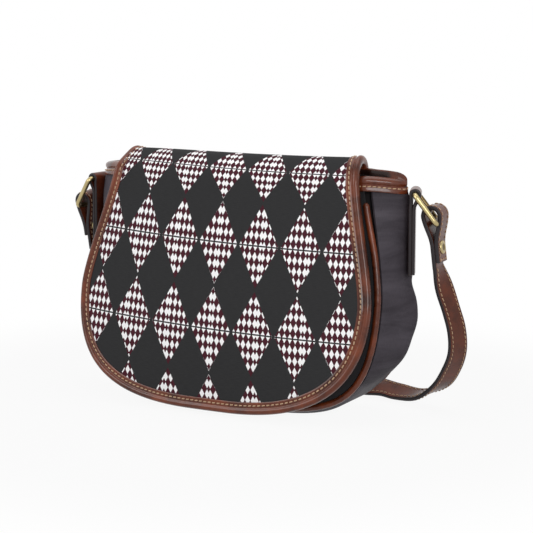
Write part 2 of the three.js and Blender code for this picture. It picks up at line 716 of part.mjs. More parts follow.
// A turned part about the local Y axis from radius and height pairs.
const turned = (profile) => new THREE.LatheGeometry(profile.map(([r, y]) => vec2(r, y)), 24);

// The snap's halves share an axis square to the front wall, with height 0 on the wall's outer face.
function addSnap() {
  const tilt = Math.atan(PAD_LEAN - bowGrowth(SNAP_Z));
  const group = new THREE.Group();
  group.position.set(0, bowedY(0, SNAP_Z), SNAP_Z);
  group.rotation.x = Math.PI - tilt;
  bag.add(group);
  const socket = [
    [0, SOCKET_HEIGHT.foot],
    [SNAP_RADIUS, SOCKET_HEIGHT.foot],
    [SNAP_RADIUS, SOCKET_HEIGHT.rim],
    [SNAP_RADIUS - 0.8, SOCKET_HEIGHT.top],
    [SNAP_HOLE_RADIUS, SOCKET_HEIGHT.top],
    [SNAP_HOLE_RADIUS, SOCKET_HEIGHT.floor],
    [0, SOCKET_HEIGHT.floor],
  ];
  const stud = [
    [0, STUD_HEIGHT.tip],
    [SNAP_PIN_RADIUS, STUD_HEIGHT.tip],
    [SNAP_PIN_RADIUS, STUD_HEIGHT.foot],
    [SNAP_RADIUS - 1, STUD_HEIGHT.foot],
    [SNAP_RADIUS - 1, STUD_HEIGHT.top],
    [0, STUD_HEIGHT.top],
  ];
  const plate = ([low, high]) => [
    [0, low],
    [SNAP_PLATE_RADIUS, low],
    [SNAP_PLATE_RADIUS, high],
    [0, high],
  ];
  const flapMiddle = FLAP_STANDOFF * Math.cos(tilt);
  const studPlateHeight = [flapMiddle - STUD_PLATE_HALF, flapMiddle + STUD_PLATE_HALF];
  place("snap_socket", turned(socket), brass(), group);
  place("snap_socket_plate", turned(plate(SOCKET_PLATE_HEIGHT)), steel(), group);
  place("snap_stud", turned(stud), brass(), group);
  place("snap_stud_plate", turned(plate(studPlateHeight)), steel(), group);
}

// A strip folded round a bar that lies along the local Y axis: a loop, then two layers that hang
// down and meet on the plane x = seat.
function foldedStrip({ bore, thickness, taper, seat, innerLength, outerLength, width }) {
  const shape = new THREE.Shape();
  shape.absarc(0, 0, bore + thickness, -FOLD_DIP, Math.PI + FOLD_DIP, false);
  shape.lineTo(seat - thickness, -taper);
  shape.lineTo(seat - thickness, -innerLength);
  shape.lineTo(seat, -innerLength);
  shape.lineTo(seat, -outerLength);
  shape.lineTo(seat + thickness, -outerLength);
  shape.lineTo(seat + thickness, -taper);
  shape.closePath();
  const hole = new THREE.Path();
  hole.absarc(0, 0, bore, -FOLD_DIP, Math.PI + FOLD_DIP, false);
  hole.lineTo(seat, -0.8 * taper);
  hole.closePath();
  shape.holes.push(hole);
  const strip = new THREE.ExtrudeGeometry(shape, { depth: width, bevelEnabled: false, curveSegments: 14 });
  return strip.rotateX(Math.PI / 2).translate(0, width / 2, 0);
}

// A ring of round wire with rounded corners: its upper bar lies on the local Y axis.
function wireRing(width, length, corner, wire) {
  const corners = [
    [width / 2 - corner, -corner, 0],
    [-width / 2 + corner, -corner, 90],
    [-width / 2 + corner, -length + corner, 180],
    [width / 2 - corner, -length + corner, 270],
  ];
  const sides = 10;
  const rings = corners.flatMap(([y, z, start]) =>
    [0, 22.5, 45, 67.5, 90].map((angle) => {
      const a = radians(start + angle);
      const out = vec3(0, Math.cos(a), Math.sin(a));
      const centre = vec3(0, y, z).addScaledVector(out, corner);
      return Array.from({ length: sides }, (_, i) => {
        const b = (2 * Math.PI * i) / sides;
        const point = centre.clone().addScaledVector(out, wire * Math.cos(b));
        point.x += wire * Math.sin(b);
        return point;
      });
    }),
  );
  return loft(rings, true);
}

function rivet() {
  const half = STRAP_THICKNESS + GAP;
  const crown = half + RIVET_HEAD_HEIGHT;
  const profile = [
    [0, -crown],
    [RIVET_HEAD_RADIUS - 1, -crown],
    [RIVET_HEAD_RADIUS, -half - RIVET_RIM],
    [RIVET_HEAD_RADIUS, -half],
    [RIVET_POST_RADIUS, -half],
    [RIVET_POST_RADIUS, half],
    [RIVET_HEAD_RADIUS, half],
    [RIVET_HEAD_RADIUS, half + RIVET_RIM],
    [RIVET_HEAD_RADIUS - 1, crown],
    [0, crown],
  ];
  return turned(profile).rotateZ(-Math.PI / 2).translate(0, 0, -RIVET_DROP);
}

// A tab, its ring and the strap end that hangs from the ring.
function addSide(side) {
  const { at, turn, hang, twist, lean, skew, slack } = SIDES[side];
  const group = new THREE.Group();
  group.position.set(...at);
  group.rotation.z = radians(turn);
  bag.add(group);
  const tab = foldedStrip({
    bore: RING_BORE,
    thickness: TAB_THICKNESS,
    taper: TAB_TAPER,
    seat: -RING_BORE,
    innerLength: TAB_LENGTH,
    outerLength: TAB_LENGTH - 1,
    width: TAB_WIDTH,
  });
  place(`${side}_tab`, tab, brownLeather(), group);
  const ring = wireRing(RING_WIDTH, RING_LENGTH, RING_CORNER, RING_WIRE_RADIUS);
  place(`${side}_ring`, ring, brass(), group).rotation.y = -radians(hang);

  const hanging = new THREE.Group();
  const reach = radians(hang);
  const drop = -RING_LENGTH * Math.cos(reach) + STRAP_LOOP_LIFT;
  hanging.position.set(RING_LENGTH * Math.sin(reach) + slack, 0, drop);
  hanging.rotation.order = "ZYX";
  hanging.rotation.set(radians(skew), -radians(lean), radians(twist));
  group.add(hanging);
  const strapEnd = foldedStrip({
    bore: STRAP_LOOP_BORE,
    thickness: STRAP_THICKNESS,
    taper: STRAP_LOOP_TAPER,
    seat: 0,
    innerLength: STRAP_END_LENGTH,
    outerLength: STRAP_TAIL_LENGTH,
    width: STRAP_WIDTH,
  });
  const rivetHole = new THREE.CylinderGeometry(RIVET_POST_RADIUS + GAP, RIVET_POST_RADIUS + GAP, 20, 16);
  rivetHole.rotateZ(Math.PI / 2).translate(0, 0, -RIVET_DROP);
  place(`${side}_strap_end`, cut(strapEnd, rivetHole), brownLeather(), hanging);
  place(`${side}_rivet`, rivet(), brass(), hanging);
}

// A flat strap along its route, turned so that its width follows the direction given at each point.
function strap(route, steps) {
  const path = new THREE.CatmullRomCurve3(route.map(([p]) => vec3(...p)), false, "centripetal");
  const across = new THREE.CatmullRomCurve3(route.map(([, w]) => vec3(...w)), false, "centripetal");
  const [w, t] = [STRAP_WIDTH / 2, STRAP_THICKNESS / 2];
  const rings = Array.from({ length: steps + 1 }, (_, i) => {
    const u = path.getUtoTmapping(i / steps);
    const tangent = path.getTangent(u);
    const width = across.getPoint(u);
    width.addScaledVector(tangent, -width.dot(tangent)).normalize();
    const face = tangent.clone().cross(width);
    const at = path.getPoint(u);
    const corner = (a, b) => at.clone().addScaledVector(width, a).addScaledVector(face, b);
    return [corner(-w, -t), corner(w, -t), corner(w, t), corner(-w, t)];
  });
  return loft(rings);
}

// The buckle in its own frame: the heel bar on the local Y axis, the front bar one length below it,
// and +X out of the face that the prong lies on.
function addBuckle() {
  const group = new THREE.Group();
  const [x, y, z] = BUCKLE_AT;
  group.position.set(x - BUCKLE_LENGTH / 2, y, z);
  const axes = new THREE.Matrix4().makeBasis(vec3(0, 1, 0), vec3(0, 0, -1), vec3(-1, 0, 0));
  group.quaternion.setFromRotationMatrix(axes);
  bag.add(group);

  const frame = wireRing(BUCKLE_WIDTH, BUCKLE_LENGTH, BUCKLE_CORNER, BUCKLE_WIRE_RADIUS);
  place("buckle_frame", frame, brass(), group);

  const fold = foldedStrip({ ...BUCKLE_FOLD, bore: BUCKLE_BORE, width: STRAP_WIDTH });
  const slot = new THREE.BoxGeometry(...BUCKLE_SLOT).translate(0, 0, 1);
  place("buckle_fold", cut(fold.rotateX(Math.PI), slot), brownLeather(), group);

  const eye = new THREE.Shape().absarc(0, 0, BUCKLE_BORE + PRONG_EYE_WALL, 0, 2 * Math.PI);
  eye.holes.push(new THREE.Path().absarc(0, 0, BUCKLE_BORE, 0, 2 * Math.PI));
  const flatExtrude = { depth: PRONG_WIDTH, bevelEnabled: false, curveSegments: 16 };
  const rest = BUCKLE_WIRE_RADIUS + GAP;
  const arm = new THREE.Shape([
    vec2(BUCKLE_BORE - 0.2, -1.2),
    vec2(BUCKLE_BORE + 1.2, -1),
    vec2(rest + PRONG_THICKNESS, -BUCKLE_LENGTH + PRONG_OVERHANG),
    vec2(rest + PRONG_TIP, -BUCKLE_LENGTH - PRONG_OVERHANG),
    vec2(rest, -BUCKLE_LENGTH - PRONG_OVERHANG),
    vec2(rest, -BUCKLE_LENGTH + PRONG_WIDTH),
  ]);
  const armSolid = new THREE.ExtrudeGeometry(arm, flatExtrude);
  const bore = new THREE.CylinderGeometry(BUCKLE_BORE, BUCKLE_BORE, 3 * PRONG_WIDTH, 24).rotateX(Math.PI / 2);
  const prong = cut(join(new THREE.ExtrudeGeometry(eye, flatExtrude), armSolid), bore);
  prong.rotateX(Math.PI / 2).translate(0, PRONG_WIDTH / 2, 0);
  place("buckle_prong", prong, brass(), group);
}

// A leather loop round the short strap's fold and the long strap's tail.
function keeper() {
  const [lowY, highY] = KEEPER_INSIDE.y;
  const [lowZ, highZ] = KEEPER_INSIDE.z;
  const box = (grow) => [
    vec2(lowY - grow, lowZ - grow),
    vec2(highY + grow, lowZ - grow),
    vec2(highY + grow, highZ + grow),
    vec2(lowY - grow, highZ + grow),
  ];
  const shape = new THREE.Shape(box(KEEPER_THICKNESS));
  shape.holes.push(new THREE.Path(box(0)));
  const loop = new THREE.ExtrudeGeometry(shape, { depth: KEEPER_WIDTH, bevelEnabled: false });
  const axes = new THREE.Matrix4().makeBasis(vec3(0, 1, 0), vec3(0, 0, 1), vec3(1, 0, 0));
  return loop.applyMatrix4(axes).translate(KEEPER_X - KEEPER_WIDTH / 2, 0, 0);
}

place("front_panel", panel(frontY, bowedY, frontNormal, LIP_SAG), charcoal());
place("back_panel", panel(backY, (x, z) => backY(z), backNormal, 0), charcoal());
place("front_piping", piping(frontY, frontNormal), brownLeather());
place("back_piping", piping(backY, backNormal), brownLeather());
place("gusset", gusset(), nylon());
place("mouth_band", mouthBand(), brownLeather());
place("lining", lining(), darkCloth());

const flapOuterTop = FLAP_LAYER_GAP + FLAP_OUTER_THICKNESS;
const flapLiningLow = -FLAP_LAYER_GAP - FLAP_LINING_THICKNESS;
place("flap_panel", flapLayer(FLAP_LAYER_GAP, flapOuterTop), charcoal());
place("flap_lining", flapLayer(flapLiningLow, -FLAP_LAYER_GAP), darkCloth());
place("flap_binding", flapBinding(), brownLeather());
place("flap_hinge_fold", flapHingeFold(), charcoal());
place("flap_anchor", flapAnchor(), charcoal());
addSnap();

addSide("right");
addSide("left");

const prongHole = new THREE.BoxGeometry(...PRONG_HOLE).translate(...PRONG_HOLE_AT);
place("strap_long", cut(strap(LONG_STRAP_ROUTE, 78), prongHole), brownLeather());
place("strap_short", strap(SHORT_STRAP_ROUTE, 30), brownLeather());
addBuckle();
place("strap_keeper", keeper(), brownLeather());

export default bag;
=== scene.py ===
import bpy
import numpy as np
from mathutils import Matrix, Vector


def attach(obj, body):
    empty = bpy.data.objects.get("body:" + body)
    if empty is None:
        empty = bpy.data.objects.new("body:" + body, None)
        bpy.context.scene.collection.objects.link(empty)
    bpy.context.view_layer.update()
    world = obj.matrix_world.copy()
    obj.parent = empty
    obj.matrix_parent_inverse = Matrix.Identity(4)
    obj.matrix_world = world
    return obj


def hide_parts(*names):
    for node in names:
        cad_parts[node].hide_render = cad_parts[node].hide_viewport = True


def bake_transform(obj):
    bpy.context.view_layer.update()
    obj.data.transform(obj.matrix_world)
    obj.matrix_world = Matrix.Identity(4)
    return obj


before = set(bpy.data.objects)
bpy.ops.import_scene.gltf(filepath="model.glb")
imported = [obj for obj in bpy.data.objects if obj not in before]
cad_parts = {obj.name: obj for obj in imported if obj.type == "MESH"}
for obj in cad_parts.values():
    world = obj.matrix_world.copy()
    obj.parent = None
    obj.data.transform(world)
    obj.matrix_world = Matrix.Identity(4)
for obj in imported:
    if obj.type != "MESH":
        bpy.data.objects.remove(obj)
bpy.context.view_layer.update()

# The studio: a pale floor that keeps a soft shadow, a white surround and three large soft lamps.
# The camera stands to the right of the bag's front and a little above it. Lengths in this file are
# in millimetres, and MM turns them into the frame's metres.
MM = 0.001
CAMERA_TARGET = np.array([25.6, 0.0, 111.2])
CAMERA_AZIMUTH = 28.6
CAMERA_ELEVATION = 9.6
CAMERA_DISTANCE = 1395.0
CAMERA_LENS = 120.56
SURROUND_LIGHT = 0.38
FLOOR_HALF = 4000.0
FLOOR_DROP = 0.3
FLOOR_GREY = 0.55
FLOOR_GLOW = 0.92
SHADOW_REACH = (230.0, 420.0)
LAMPS = {
    "key_lamp": ((-900, -1300, 1000), 900, 11.0),
    "side_lamp": ((1150, -1050, 650), 600, 9.0),
    "top_lamp": ((100, 150, 1500), 1100, 6.0),
}

scene = bpy.context.scene
scene.view_settings.view_transform = "Standard"


def node(tree, kind, inputs=None, **settings):
    """Adds a shader node, sets its settings, and fills its inputs with values or other sockets."""
    made = tree.nodes.new(kind)
    for key, value in settings.items():
        setattr(made, key, value)
    for key, value in (inputs or {}).items():
        if isinstance(value, bpy.types.NodeSocket):
            tree.links.new(value, made.inputs[key])
        else:
            made.inputs[key].default_value = value
    return made


def maths(tree, operation, *terms):
    """Output of a Math node on values or sockets."""
    return node(tree, "ShaderNodeMath", dict(enumerate(terms)), operation=operation).outputs[0]


def colour(code):
    """Linear colour of a hex code written in display values."""
    shown = np.array([int(code[i : i + 2], 16) for i in (0, 2, 4)]) / 255
    linear = np.where(shown <= 0.04045, shown / 12.92, ((shown + 0.055) / 1.055) ** 2.4)
    return (*linear, 1.0)


def seen_directly(tree):
    """1 for rays that show the surround itself: camera, mirrored and see-through rays."""
    path = node(tree, "ShaderNodeLightPath").outputs
    mirrored = maths(tree, "MAXIMUM", path["Is Glossy Ray"], path["Is Transmission Ray"])
    return maths(tree, "MAXIMUM", path["Is Camera Ray"], mirrored)


def aim(thing, place, target):
    """Puts a lamp or camera at a place and points it at a target, in millimetres."""
    thing.location = Vector(np.array(place) * MM)
    facing = Vector((np.array(target) - np.array(place)) * MM)
    thing.rotation_euler = facing.to_track_quat("-Z", "Y").to_euler()


world = bpy.data.worlds.new("white_surround")
world.use_nodes = True
world.node_tree.nodes.clear()
surround_strength = maths(
    world.node_tree,
    "MULTIPLY_ADD",
    seen_directly(world.node_tree),
    1 - SURROUND_LIGHT,
    SURROUND_LIGHT,
)
surround = node(
    world.node_tree, "ShaderNodeBackground", {"Color": (1, 1, 1, 1), "Strength": surround_strength}
)
node(world.node_tree, "ShaderNodeOutputWorld", {"Surface": surround.outputs[0]})
scene.world = world

floor_material = bpy.data.materials.new("floor")
floor_material.use_nodes = True
tree = floor_material.node_tree
tree.nodes.clear()
floor_shaded = node(tree, "ShaderNodeBsdfDiffuse", {"Color": (*[FLOOR_GREY] * 3, 1)})
floor_glow = node(tree, "ShaderNodeEmission", {"Color": (1, 1, 1, 1), "Strength": 1.0})
floor_place = node(tree, "ShaderNodeTexCoord").outputs["Object"]
from_bag = node(tree, "ShaderNodeVectorMath", {0: floor_place}, operation="LENGTH").outputs["Value"]
beyond_shadow = node(
    tree,
    "ShaderNodeMapRange",
    {
        "Value": from_bag,
        "From Min": SHADOW_REACH[0] * MM,
        "From Max": SHADOW_REACH[1] * MM,
        "To Min": FLOOR_GLOW,
        "To Max": 1.0,
    },
    interpolation_type="SMOOTHSTEP",
).outputs[0]
glow_share = maths(tree, "MULTIPLY", seen_directly(tree), beyond_shadow)
floor_mix = node(
    tree,
    "ShaderNodeMixShader",
    {0: glow_share, 1: floor_shaded.outputs[0], 2: floor_glow.outputs[0]},
)
node(tree, "ShaderNodeOutputMaterial", {"Surface": floor_mix.outputs[0]})
floor_mesh = bpy.data.meshes.new("floor")
floor_corners = np.array([(-1, -1), (1, -1), (1, 1), (-1, 1)]) * FLOOR_HALF
floor_points = np.column_stack([floor_corners, np.full(4, -FLOOR_DROP)]) * MM
floor_mesh.from_pydata(floor_points.tolist(), [], [(0, 1, 2, 3)])
floor_mesh.materials.append(floor_material)
floor = bpy.data.objects.new("floor", floor_mesh)
scene.collection.objects.link(floor)

for lamp_name, (lamp_place, lamp_size, lamp_watts) in LAMPS.items():
    lamp = bpy.data.lights.new(lamp_name, "AREA")
    lamp.size = lamp_size * MM
    lamp.energy = lamp_watts
    lamp_object = bpy.data.objects.new(lamp_name, lamp)
    lamp_object.visible_camera = False
    aim(lamp_object, lamp_place, CAMERA_TARGET)
    scene.collection.objects.link(lamp_object)

camera = bpy.data.objects.new("camera", bpy.data.cameras.new("camera"))
camera.data.lens = CAMERA_LENS
turn, tilt = np.radians(CAMERA_AZIMUTH), np.radians(CAMERA_ELEVATION)
camera_way = np.array([np.sin(turn) * np.cos(tilt), -np.cos(turn) * np.cos(tilt), np.sin(tilt)])
aim(camera, CAMERA_TARGET + CAMERA_DISTANCE * camera_way, CAMERA_TARGET)
scene.collection.objects.link(camera)
scene.camera = camera

# The front and back walls are charcoal cloth over a stiffener, cut to the bag's outline: a flat base,
# round lower corners and sides that taper to the mouth. The back is flat. The front is padded, so its
# middle stands forward of its sewn edge and bows out, as wide as the flap that lies on it.
WALL_FLAT = 28.0
WALL_CORNER = [(28, 3.5), (102, 3.5), (130.5, 16), (130.5, 90)]
WALL_SIDE = [(130.5, 90), (130.5, 112), (120, 150), (114, 181)]
WALL_THICKNESS = 2.4
WALL_INSET = 5.3
PAD_MIDDLE = (0.0, 100.0)
PAD_CORE = 0.03
PAD_SHOULDER = 0.72
PAD_TOP_FADE = (138.0, 163.0)
BOW = 16.0
BOW_MIDDLE_Z = 95.0
BOW_HEIGHTS = (110.0, 190.0)
FLAP_SIDE = [(128.5, 88), (128.5, 108), (114, 148), (108.6, 180)]
LIP_SAG = 6.5
LIP_SAG_FADE = (110.0, 171.0)
FRONT_FOOT_Y = -29.0
PAD_FOOT_Y = -40.0
BACK_FOOT_Y = 40.0
PAD_LEAN = 0.215
FRONT_LEAN = 0.154
BACK_LEAN = -0.127


def front_y(z):
    """Plane of the front wall's sewn edge, at each height."""
    return FRONT_FOOT_Y + FRONT_LEAN * z


def pad_y(z):
    """Plane of the front wall's padded middle before it bows, at each height."""
    return PAD_FOOT_Y + PAD_LEAN * z


def back_y(z):
    """Plane of the back wall, at each height."""
    return BACK_FOOT_Y + BACK_LEAN * z


def smooth(low, high, x):
    """Smooth step from 0 at low to 1 at high."""
    t = np.clip((x - low) / (high - low), 0, 1)
    return t * t * (3 - 2 * t)


def lerp(a, b, t):
    """The value a share t of the way from a to b."""
    return a + (b - a) * t


def unit(vectors):
    """Each vector divided by its length."""
    return vectors / np.linalg.norm(vectors, axis=-1, keepdims=True)


def bezier(controls, count):
    """Cubic curve: the four control points weighted by (1-t)^3, 3t(1-t)^2, 3t^2(1-t) and t^3."""
    t = np.linspace(0, 1, count)[:, None]
    a, b, c, d = np.array(controls, float)
    s = 1 - t
    return s**3 * a + 3 * s**2 * t * b + 3 * s * t**2 * c + t**3 * d


def lengths_along(line):
    """Distance from a line's first point to each of its points."""
    return np.concatenate([[0], np.cumsum(np.linalg.norm(np.diff(line, axis=0), axis=1))])


def at_lengths(line, lengths, values=None):
    """Points of a line, or values given at its points, at the distances along it."""
    along = lengths_along(line)
    values = line if values is None else values
    return np.stack([np.interp(lengths, along, column) for column in values.T], axis=1)


def evenly(line, count):
    """The line again with count points, equally far apart along it."""
    return at_lengths(line, np.linspace(0, lengths_along(line)[-1], count))


def half_outline(flat, corner, side, inset, count):
    """Right half of an outline from the middle of the base to the top, and its outward normals."""
    foot = corner[0][1]
    base = np.column_stack([np.linspace(0, flat, 40), np.full(40, foot)])
    line = np.concatenate([base[:-1], bezier(corner, 160)[:-1], bezier(side, 120)])
    line = evenly(line, count)
    tangent = unit(np.gradient(line, axis=0))
    normal = np.column_stack([tangent[:, 1], -tangent[:, 0]])
    return line - inset * normal, normal


def half_width(outline, z):
    """Half an outline's width at a height, from its right half's points."""
    return np.interp(z, outline[:, 1], outline[:, 0])


def bow_at(z):
    """How far the middle of the front bows forward at a height, a parabola that is flatter above its
    middle, and the bow's rate of change upwards."""
    height = np.where(z < BOW_MIDDLE_Z, *BOW_HEIGHTS)
    rise = (z - BOW_MIDDLE_Z) / height
    return BOW * np.maximum(1 - rise**2, 0), -2 * BOW * rise / height


def bow_span(z):
    """Half the width that the bow spans at a height: the flap's side, and its widest below that."""
    return half_width(bezier(FLAP_SIDE, 120), z)


def lip_sag(share, z):
    """How far the front's slack top hangs at a share of its half width, more towards its top."""
    return LIP_SAG * smooth(*LIP_SAG_FADE, z) * np.maximum(1 - share**2, 0)


def wall_outline(inset, count):
    """The walls' outline from the right top, round the base, to the left top, with its normals."""
    mirror = np.array([-1, 1])
    right, normal = half_outline(WALL_FLAT, WALL_CORNER, WALL_SIDE, inset, count)
    line = np.concatenate([right[::-1], right[1:] * mirror])
    return line, np.concatenate([normal[::-1], normal[1:] * mirror])


def ring_faces(rows, points, looped):
    """Quads between neighbouring rings, then over both ends from each point to its mirror point.
    Returns each face's vertices and its places in a grid that repeats the first column and ring."""
    ring = np.r_[0:rows, 0] if looped else np.arange(rows)
    column = np.r_[0:points, 0]
    vertex = ring[:, None] * points + column[None, :]
    place = np.arange(vertex.size).reshape(vertex.shape)

    def between(grid):
        return np.stack([grid[:-1, :-1], grid[:-1, 1:], grid[1:, 1:], grid[1:, :-1]], -1).reshape(-1, 4)

    def over(row):
        j = np.arange(points // 2 - 1)
        return np.stack([row[j], row[j + 1], row[points - 2 - j], row[points - 1 - j]], -1)

    faces, places = [between(vertex)], [between(place)]
    if not looped:
        faces += [over(vertex[0])[:, ::-1], over(vertex[-1])]
        places += [over(place[0])[:, ::-1], over(place[-1])]
    return np.concatenate(faces), np.concatenate(places)


def solid_piece(name, rings, material, looped=False, uv=None, marks=None, crease=50.0):
    """Closed mesh through equal closed rings of points, an array (rings, points, 3), or of several
    such bodies, (bodies, rings, points, 3). uv is given on the grid with its first column and ring
    repeated. Every face is turned round if the faces enclose a negative volume."""
    bodies = rings if rings.ndim == 4 else rings[None]
    rows, points = bodies.shape[1:3]
    faces, places = ring_faces(rows, points, looped)
    vertices = bodies.reshape(-1, 3) * MM
    faces = (faces[None] + (np.arange(len(bodies)) * rows * points)[:, None, None]).reshape(-1, 4)
    a, b, c, d = (vertices[faces[:, i]] for i in range(4))
    volume = np.sum(a * (np.cross(b, c) + np.cross(c, d)))
    if volume < 0:
        faces, places = faces[:, ::-1], places[:, ::-1]
    mesh = bpy.data.meshes.new(name)
    mesh.from_pydata(vertices.tolist(), [], faces.tolist())
    mesh.shade_smooth()
    mesh.set_sharp_from_angle(angle=np.radians(crease))
    if uv is not None:
        corners = np.tile(uv.reshape(-1, 2)[places.ravel()], (len(bodies), 1))
        mesh.uv_layers.new(name="UVMap").uv.foreach_set("vector", corners.ravel().astype(np.float32))
    for mark, values in (marks or {}).items():
        attribute = mesh.attributes.new(mark, "FLOAT", "POINT")
        attribute.data.foreach_set("value", values.ravel().astype(np.float32))
    mesh.materials.append(material)
    piece = bpy.data.objects.new(name, mesh)
    scene.collection.objects.link(piece)
    return piece


def front_uv(rings):
    """UV map in metres of rings seen from the front, with the first column repeated."""
    return np.concatenate([rings, rings[:, :1]], axis=1)[..., [0, 2]] * MM


def fit(piece, body, slot, *nodes):
    """The piece rides on a body and stands for the named solids, which it hides. slot is not used."""
    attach(piece, body)
    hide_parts(*nodes)
    return piece


def new_group(name, inputs, outputs):
    """A shader node group with float or vector inputs and float outputs."""
    group = bpy.data.node_groups.new(name, "ShaderNodeTree")
    for socket, kind in inputs.items():
        group.interface.new_socket(socket, in_out="INPUT", socket_type=kind)
    for socket in outputs:
        group.interface.new_socket(socket, in_out="OUTPUT", socket_type="NodeSocketFloat")
    return group, node(group, "NodeGroupInput").outputs


def grouped(tree, group, **inputs):
    """Outputs of a node group on values or sockets."""
    return node(tree, "ShaderNodeGroup", inputs, node_tree=group).outputs


def noise(tree, place, scale, detail, **more):
    """Output of a noise texture at a place in metres."""
    inputs = {"Vector": place, "Scale": scale, "Detail": detail, **more}
    return node(tree, "ShaderNodeTexNoise", inputs).outputs[0]


# Plain weave: raised crossings from the product of two sines, and slubs that run along the weft.
WEAVE_DEPTH = 0.05
BROAD_SHARE = 0.45
weave, weave_in = new_group(
    "weave", {"Vector": "NodeSocketVector", "Threads": "NodeSocketFloat"}, ["Height", "Shade"]
)
weave_at = node(weave, "ShaderNodeSeparateXYZ", {0: weave_in["Vector"]}).outputs
weave_turns = maths(weave, "MULTIPLY", weave_in["Threads"], np.pi)
warp = maths(weave, "SINE", maths(weave, "MULTIPLY", weave_at[0], weave_turns))
weft = maths(weave, "SINE", maths(weave, "MULTIPLY", weave_at[1], weave_turns))
crossing = maths(weave, "MULTIPLY_ADD", maths(weave, "MULTIPLY", warp, weft), 0.5, 0.5)
slub_at = node(
    weave, "ShaderNodeMapping", {"Vector": weave_in["Vector"], "Scale": (0.12, 1.6, 1.0)}
).outputs[0]
slubs = noise(weave, slub_at, scale=weave_in["Threads"], detail=2.0)
node(weave, "NodeGroupOutput", {"Height": crossing, "Shade": slubs})


def new_material(name, **surface):
    """Material with a Principled shader whose even values are set on its own sockets."""
    material = bpy.data.materials.new(name)
    material.use_nodes = True
    tree = material.node_tree
    tree.nodes.clear()
    shader = node(tree, "ShaderNodeBsdfPrincipled")
    for socket, value in surface.items():
        shader.inputs[socket.replace("_", " ")].default_value = value
    node(tree, "ShaderNodeOutputMaterial", {"Surface": shader.outputs[0]})
    return material, tree, shader


def blend_colours(tree, share, first, second):
    """Colour between two colours or sockets by a share."""
    mix = node(tree, "ShaderNodeMix", {0: share, 6: first, 7: second}, data_type="RGBA")
    return mix.outputs[2]


def bumped(tree, shader, height, depth):
    """Bump of a real depth, in millimetres, on the shader's normal."""
    bump = node(tree, "ShaderNodeBump", {"Strength": 1.0, "Distance": depth * MM, "Height": height})
    tree.links.new(bump.outputs[0], shader.inputs["Normal"])


def cloth(name, dark, light, threads, roughness, sheen, creases=0.0):
    """Woven cloth on the piece's own UV map, which is in metres, with soft creases of a given depth in
    millimetres that run across it; the creases also darken and lighten its colour as painted shade."""
    material, tree, shader = new_material(
        name, Roughness=roughness, Sheen_Weight=sheen, Sheen_Roughness=0.4, Specular_IOR_Level=0.12
    )
    place = node(tree, "ShaderNodeUVMap").outputs[0]
    woven = grouped(tree, weave, Vector=place, Threads=threads)
    broad = noise(tree, place, scale=38.0, detail=3.0)
    fine = maths(tree, "MULTIPLY", woven["Shade"], 1 - BROAD_SHARE)
    shade = maths(tree, "MULTIPLY_ADD", broad, BROAD_SHARE, fine)
    height = maths(tree, "MULTIPLY", woven["Height"], WEAVE_DEPTH)
    if creases:
        drawn = node(tree, "ShaderNodeMapping", {"Vector": place, "Scale": (1.0, 0.3, 1.0)}).outputs[0]
        folds = noise(tree, drawn, scale=70.0, detail=4.0, Roughness=0.6, Distortion=0.6)
        height = maths(tree, "MULTIPLY_ADD", folds, creases, height)
        # The creases' noise also moves the colour dark and light, as painted shade on the folds.
        shade = maths(tree, "MULTIPLY_ADD", folds, 2.0, maths(tree, "SUBTRACT", shade, 0.95))
    tree.links.new(
        blend_colours(tree, shade, colour(dark), colour(light)), shader.inputs["Base Color"]
    )
    bumped(tree, shader, height, 1.0)
    return material


CHARCOAL = ("222223", "333234")
CHARCOAL_THREADS = 1700.0
charcoal_cloth = cloth(
    "charcoal_cloth", *CHARCOAL, threads=CHARCOAL_THREADS, roughness=0.85, sheen=0.03
)


def wall(name, edge_plane, middle_plane, edge_lean, outward, padded):
    """A wall from its middle to its sewn edge and back along its inner face: scaled copies of the
    outline, whose depth goes from the padded plane to the edge's plane beyond the shoulder. A padded
    wall bows out below its top and its top hangs slack."""
    line, _ = wall_outline(WALL_INSET, 110)
    top = np.linspace(line[-1], line[0], 60)[1:-1]
    loop = np.concatenate([line, top])
    scales = np.concatenate([np.linspace(PAD_CORE, PAD_SHOULDER, 14), np.linspace(PAD_SHOULDER, 1, 18)[1:]])
    flat = np.array(PAD_MIDDLE) + scales[:, None, None] * (loop - np.array(PAD_MIDDLE))
    x, z = flat[..., 0], flat[..., 1]
    z = z - padded * lip_sag(x / line[0, 0], z)
    bowed = bow_at(z)[0] * np.maximum(1 - (x / bow_span(z)) ** 2, 0)
    sewn = np.maximum(smooth(PAD_SHOULDER, 1, scales)[:, None], smooth(*PAD_TOP_FADE, z))
    y = lerp(middle_plane(z) - padded * bowed, edge_plane(z), sewn)
    face = np.stack([x, y, z], -1)
    inward = -unit(np.array([0, outward, -outward * edge_lean])) * WALL_THICKNESS
    rings = np.concatenate([face, (face + inward)[::-1]])
    return solid_piece(name, rings, charcoal_cloth, uv=front_uv(rings))


front_wall = wall("front_wall", front_y, pad_y, FRONT_LEAN, -1, 1)
back_wall = wall("back_wall", back_y, back_y, BACK_LEAN, 1, 0)
fit(front_wall, "bag", "charcoal_cloth", "front_panel")
fit(back_wall, "bag", "charcoal_cloth", "back_panel")

# Piping covers the seam where each wall meets the gusset: a cord wrapped in glossy brown leather and
# sewn into the seam. Its ends close bluntly below the mouth, drawn in a little over the wall.
PIPING_RADIUS = 2.6
PIPING_INSET = 2.7
PIPING_TOP_Z = 168.0
PIPING_TAPER = 2.2
PIPING_END_SHARE = 0.4
PIPING_DRAWN_IN = 2.2
PIPING_DRAWN_FROM_Z = 120.0
PIPING_RIPPLE = 0.03
PIPING_RIPPLE_TURNS = (0.9, 0.23)
LEATHER_DARK = "35150b"
LEATHER_LIGHT = "7a3a1f"
GRAIN_DEPTH = 0.06

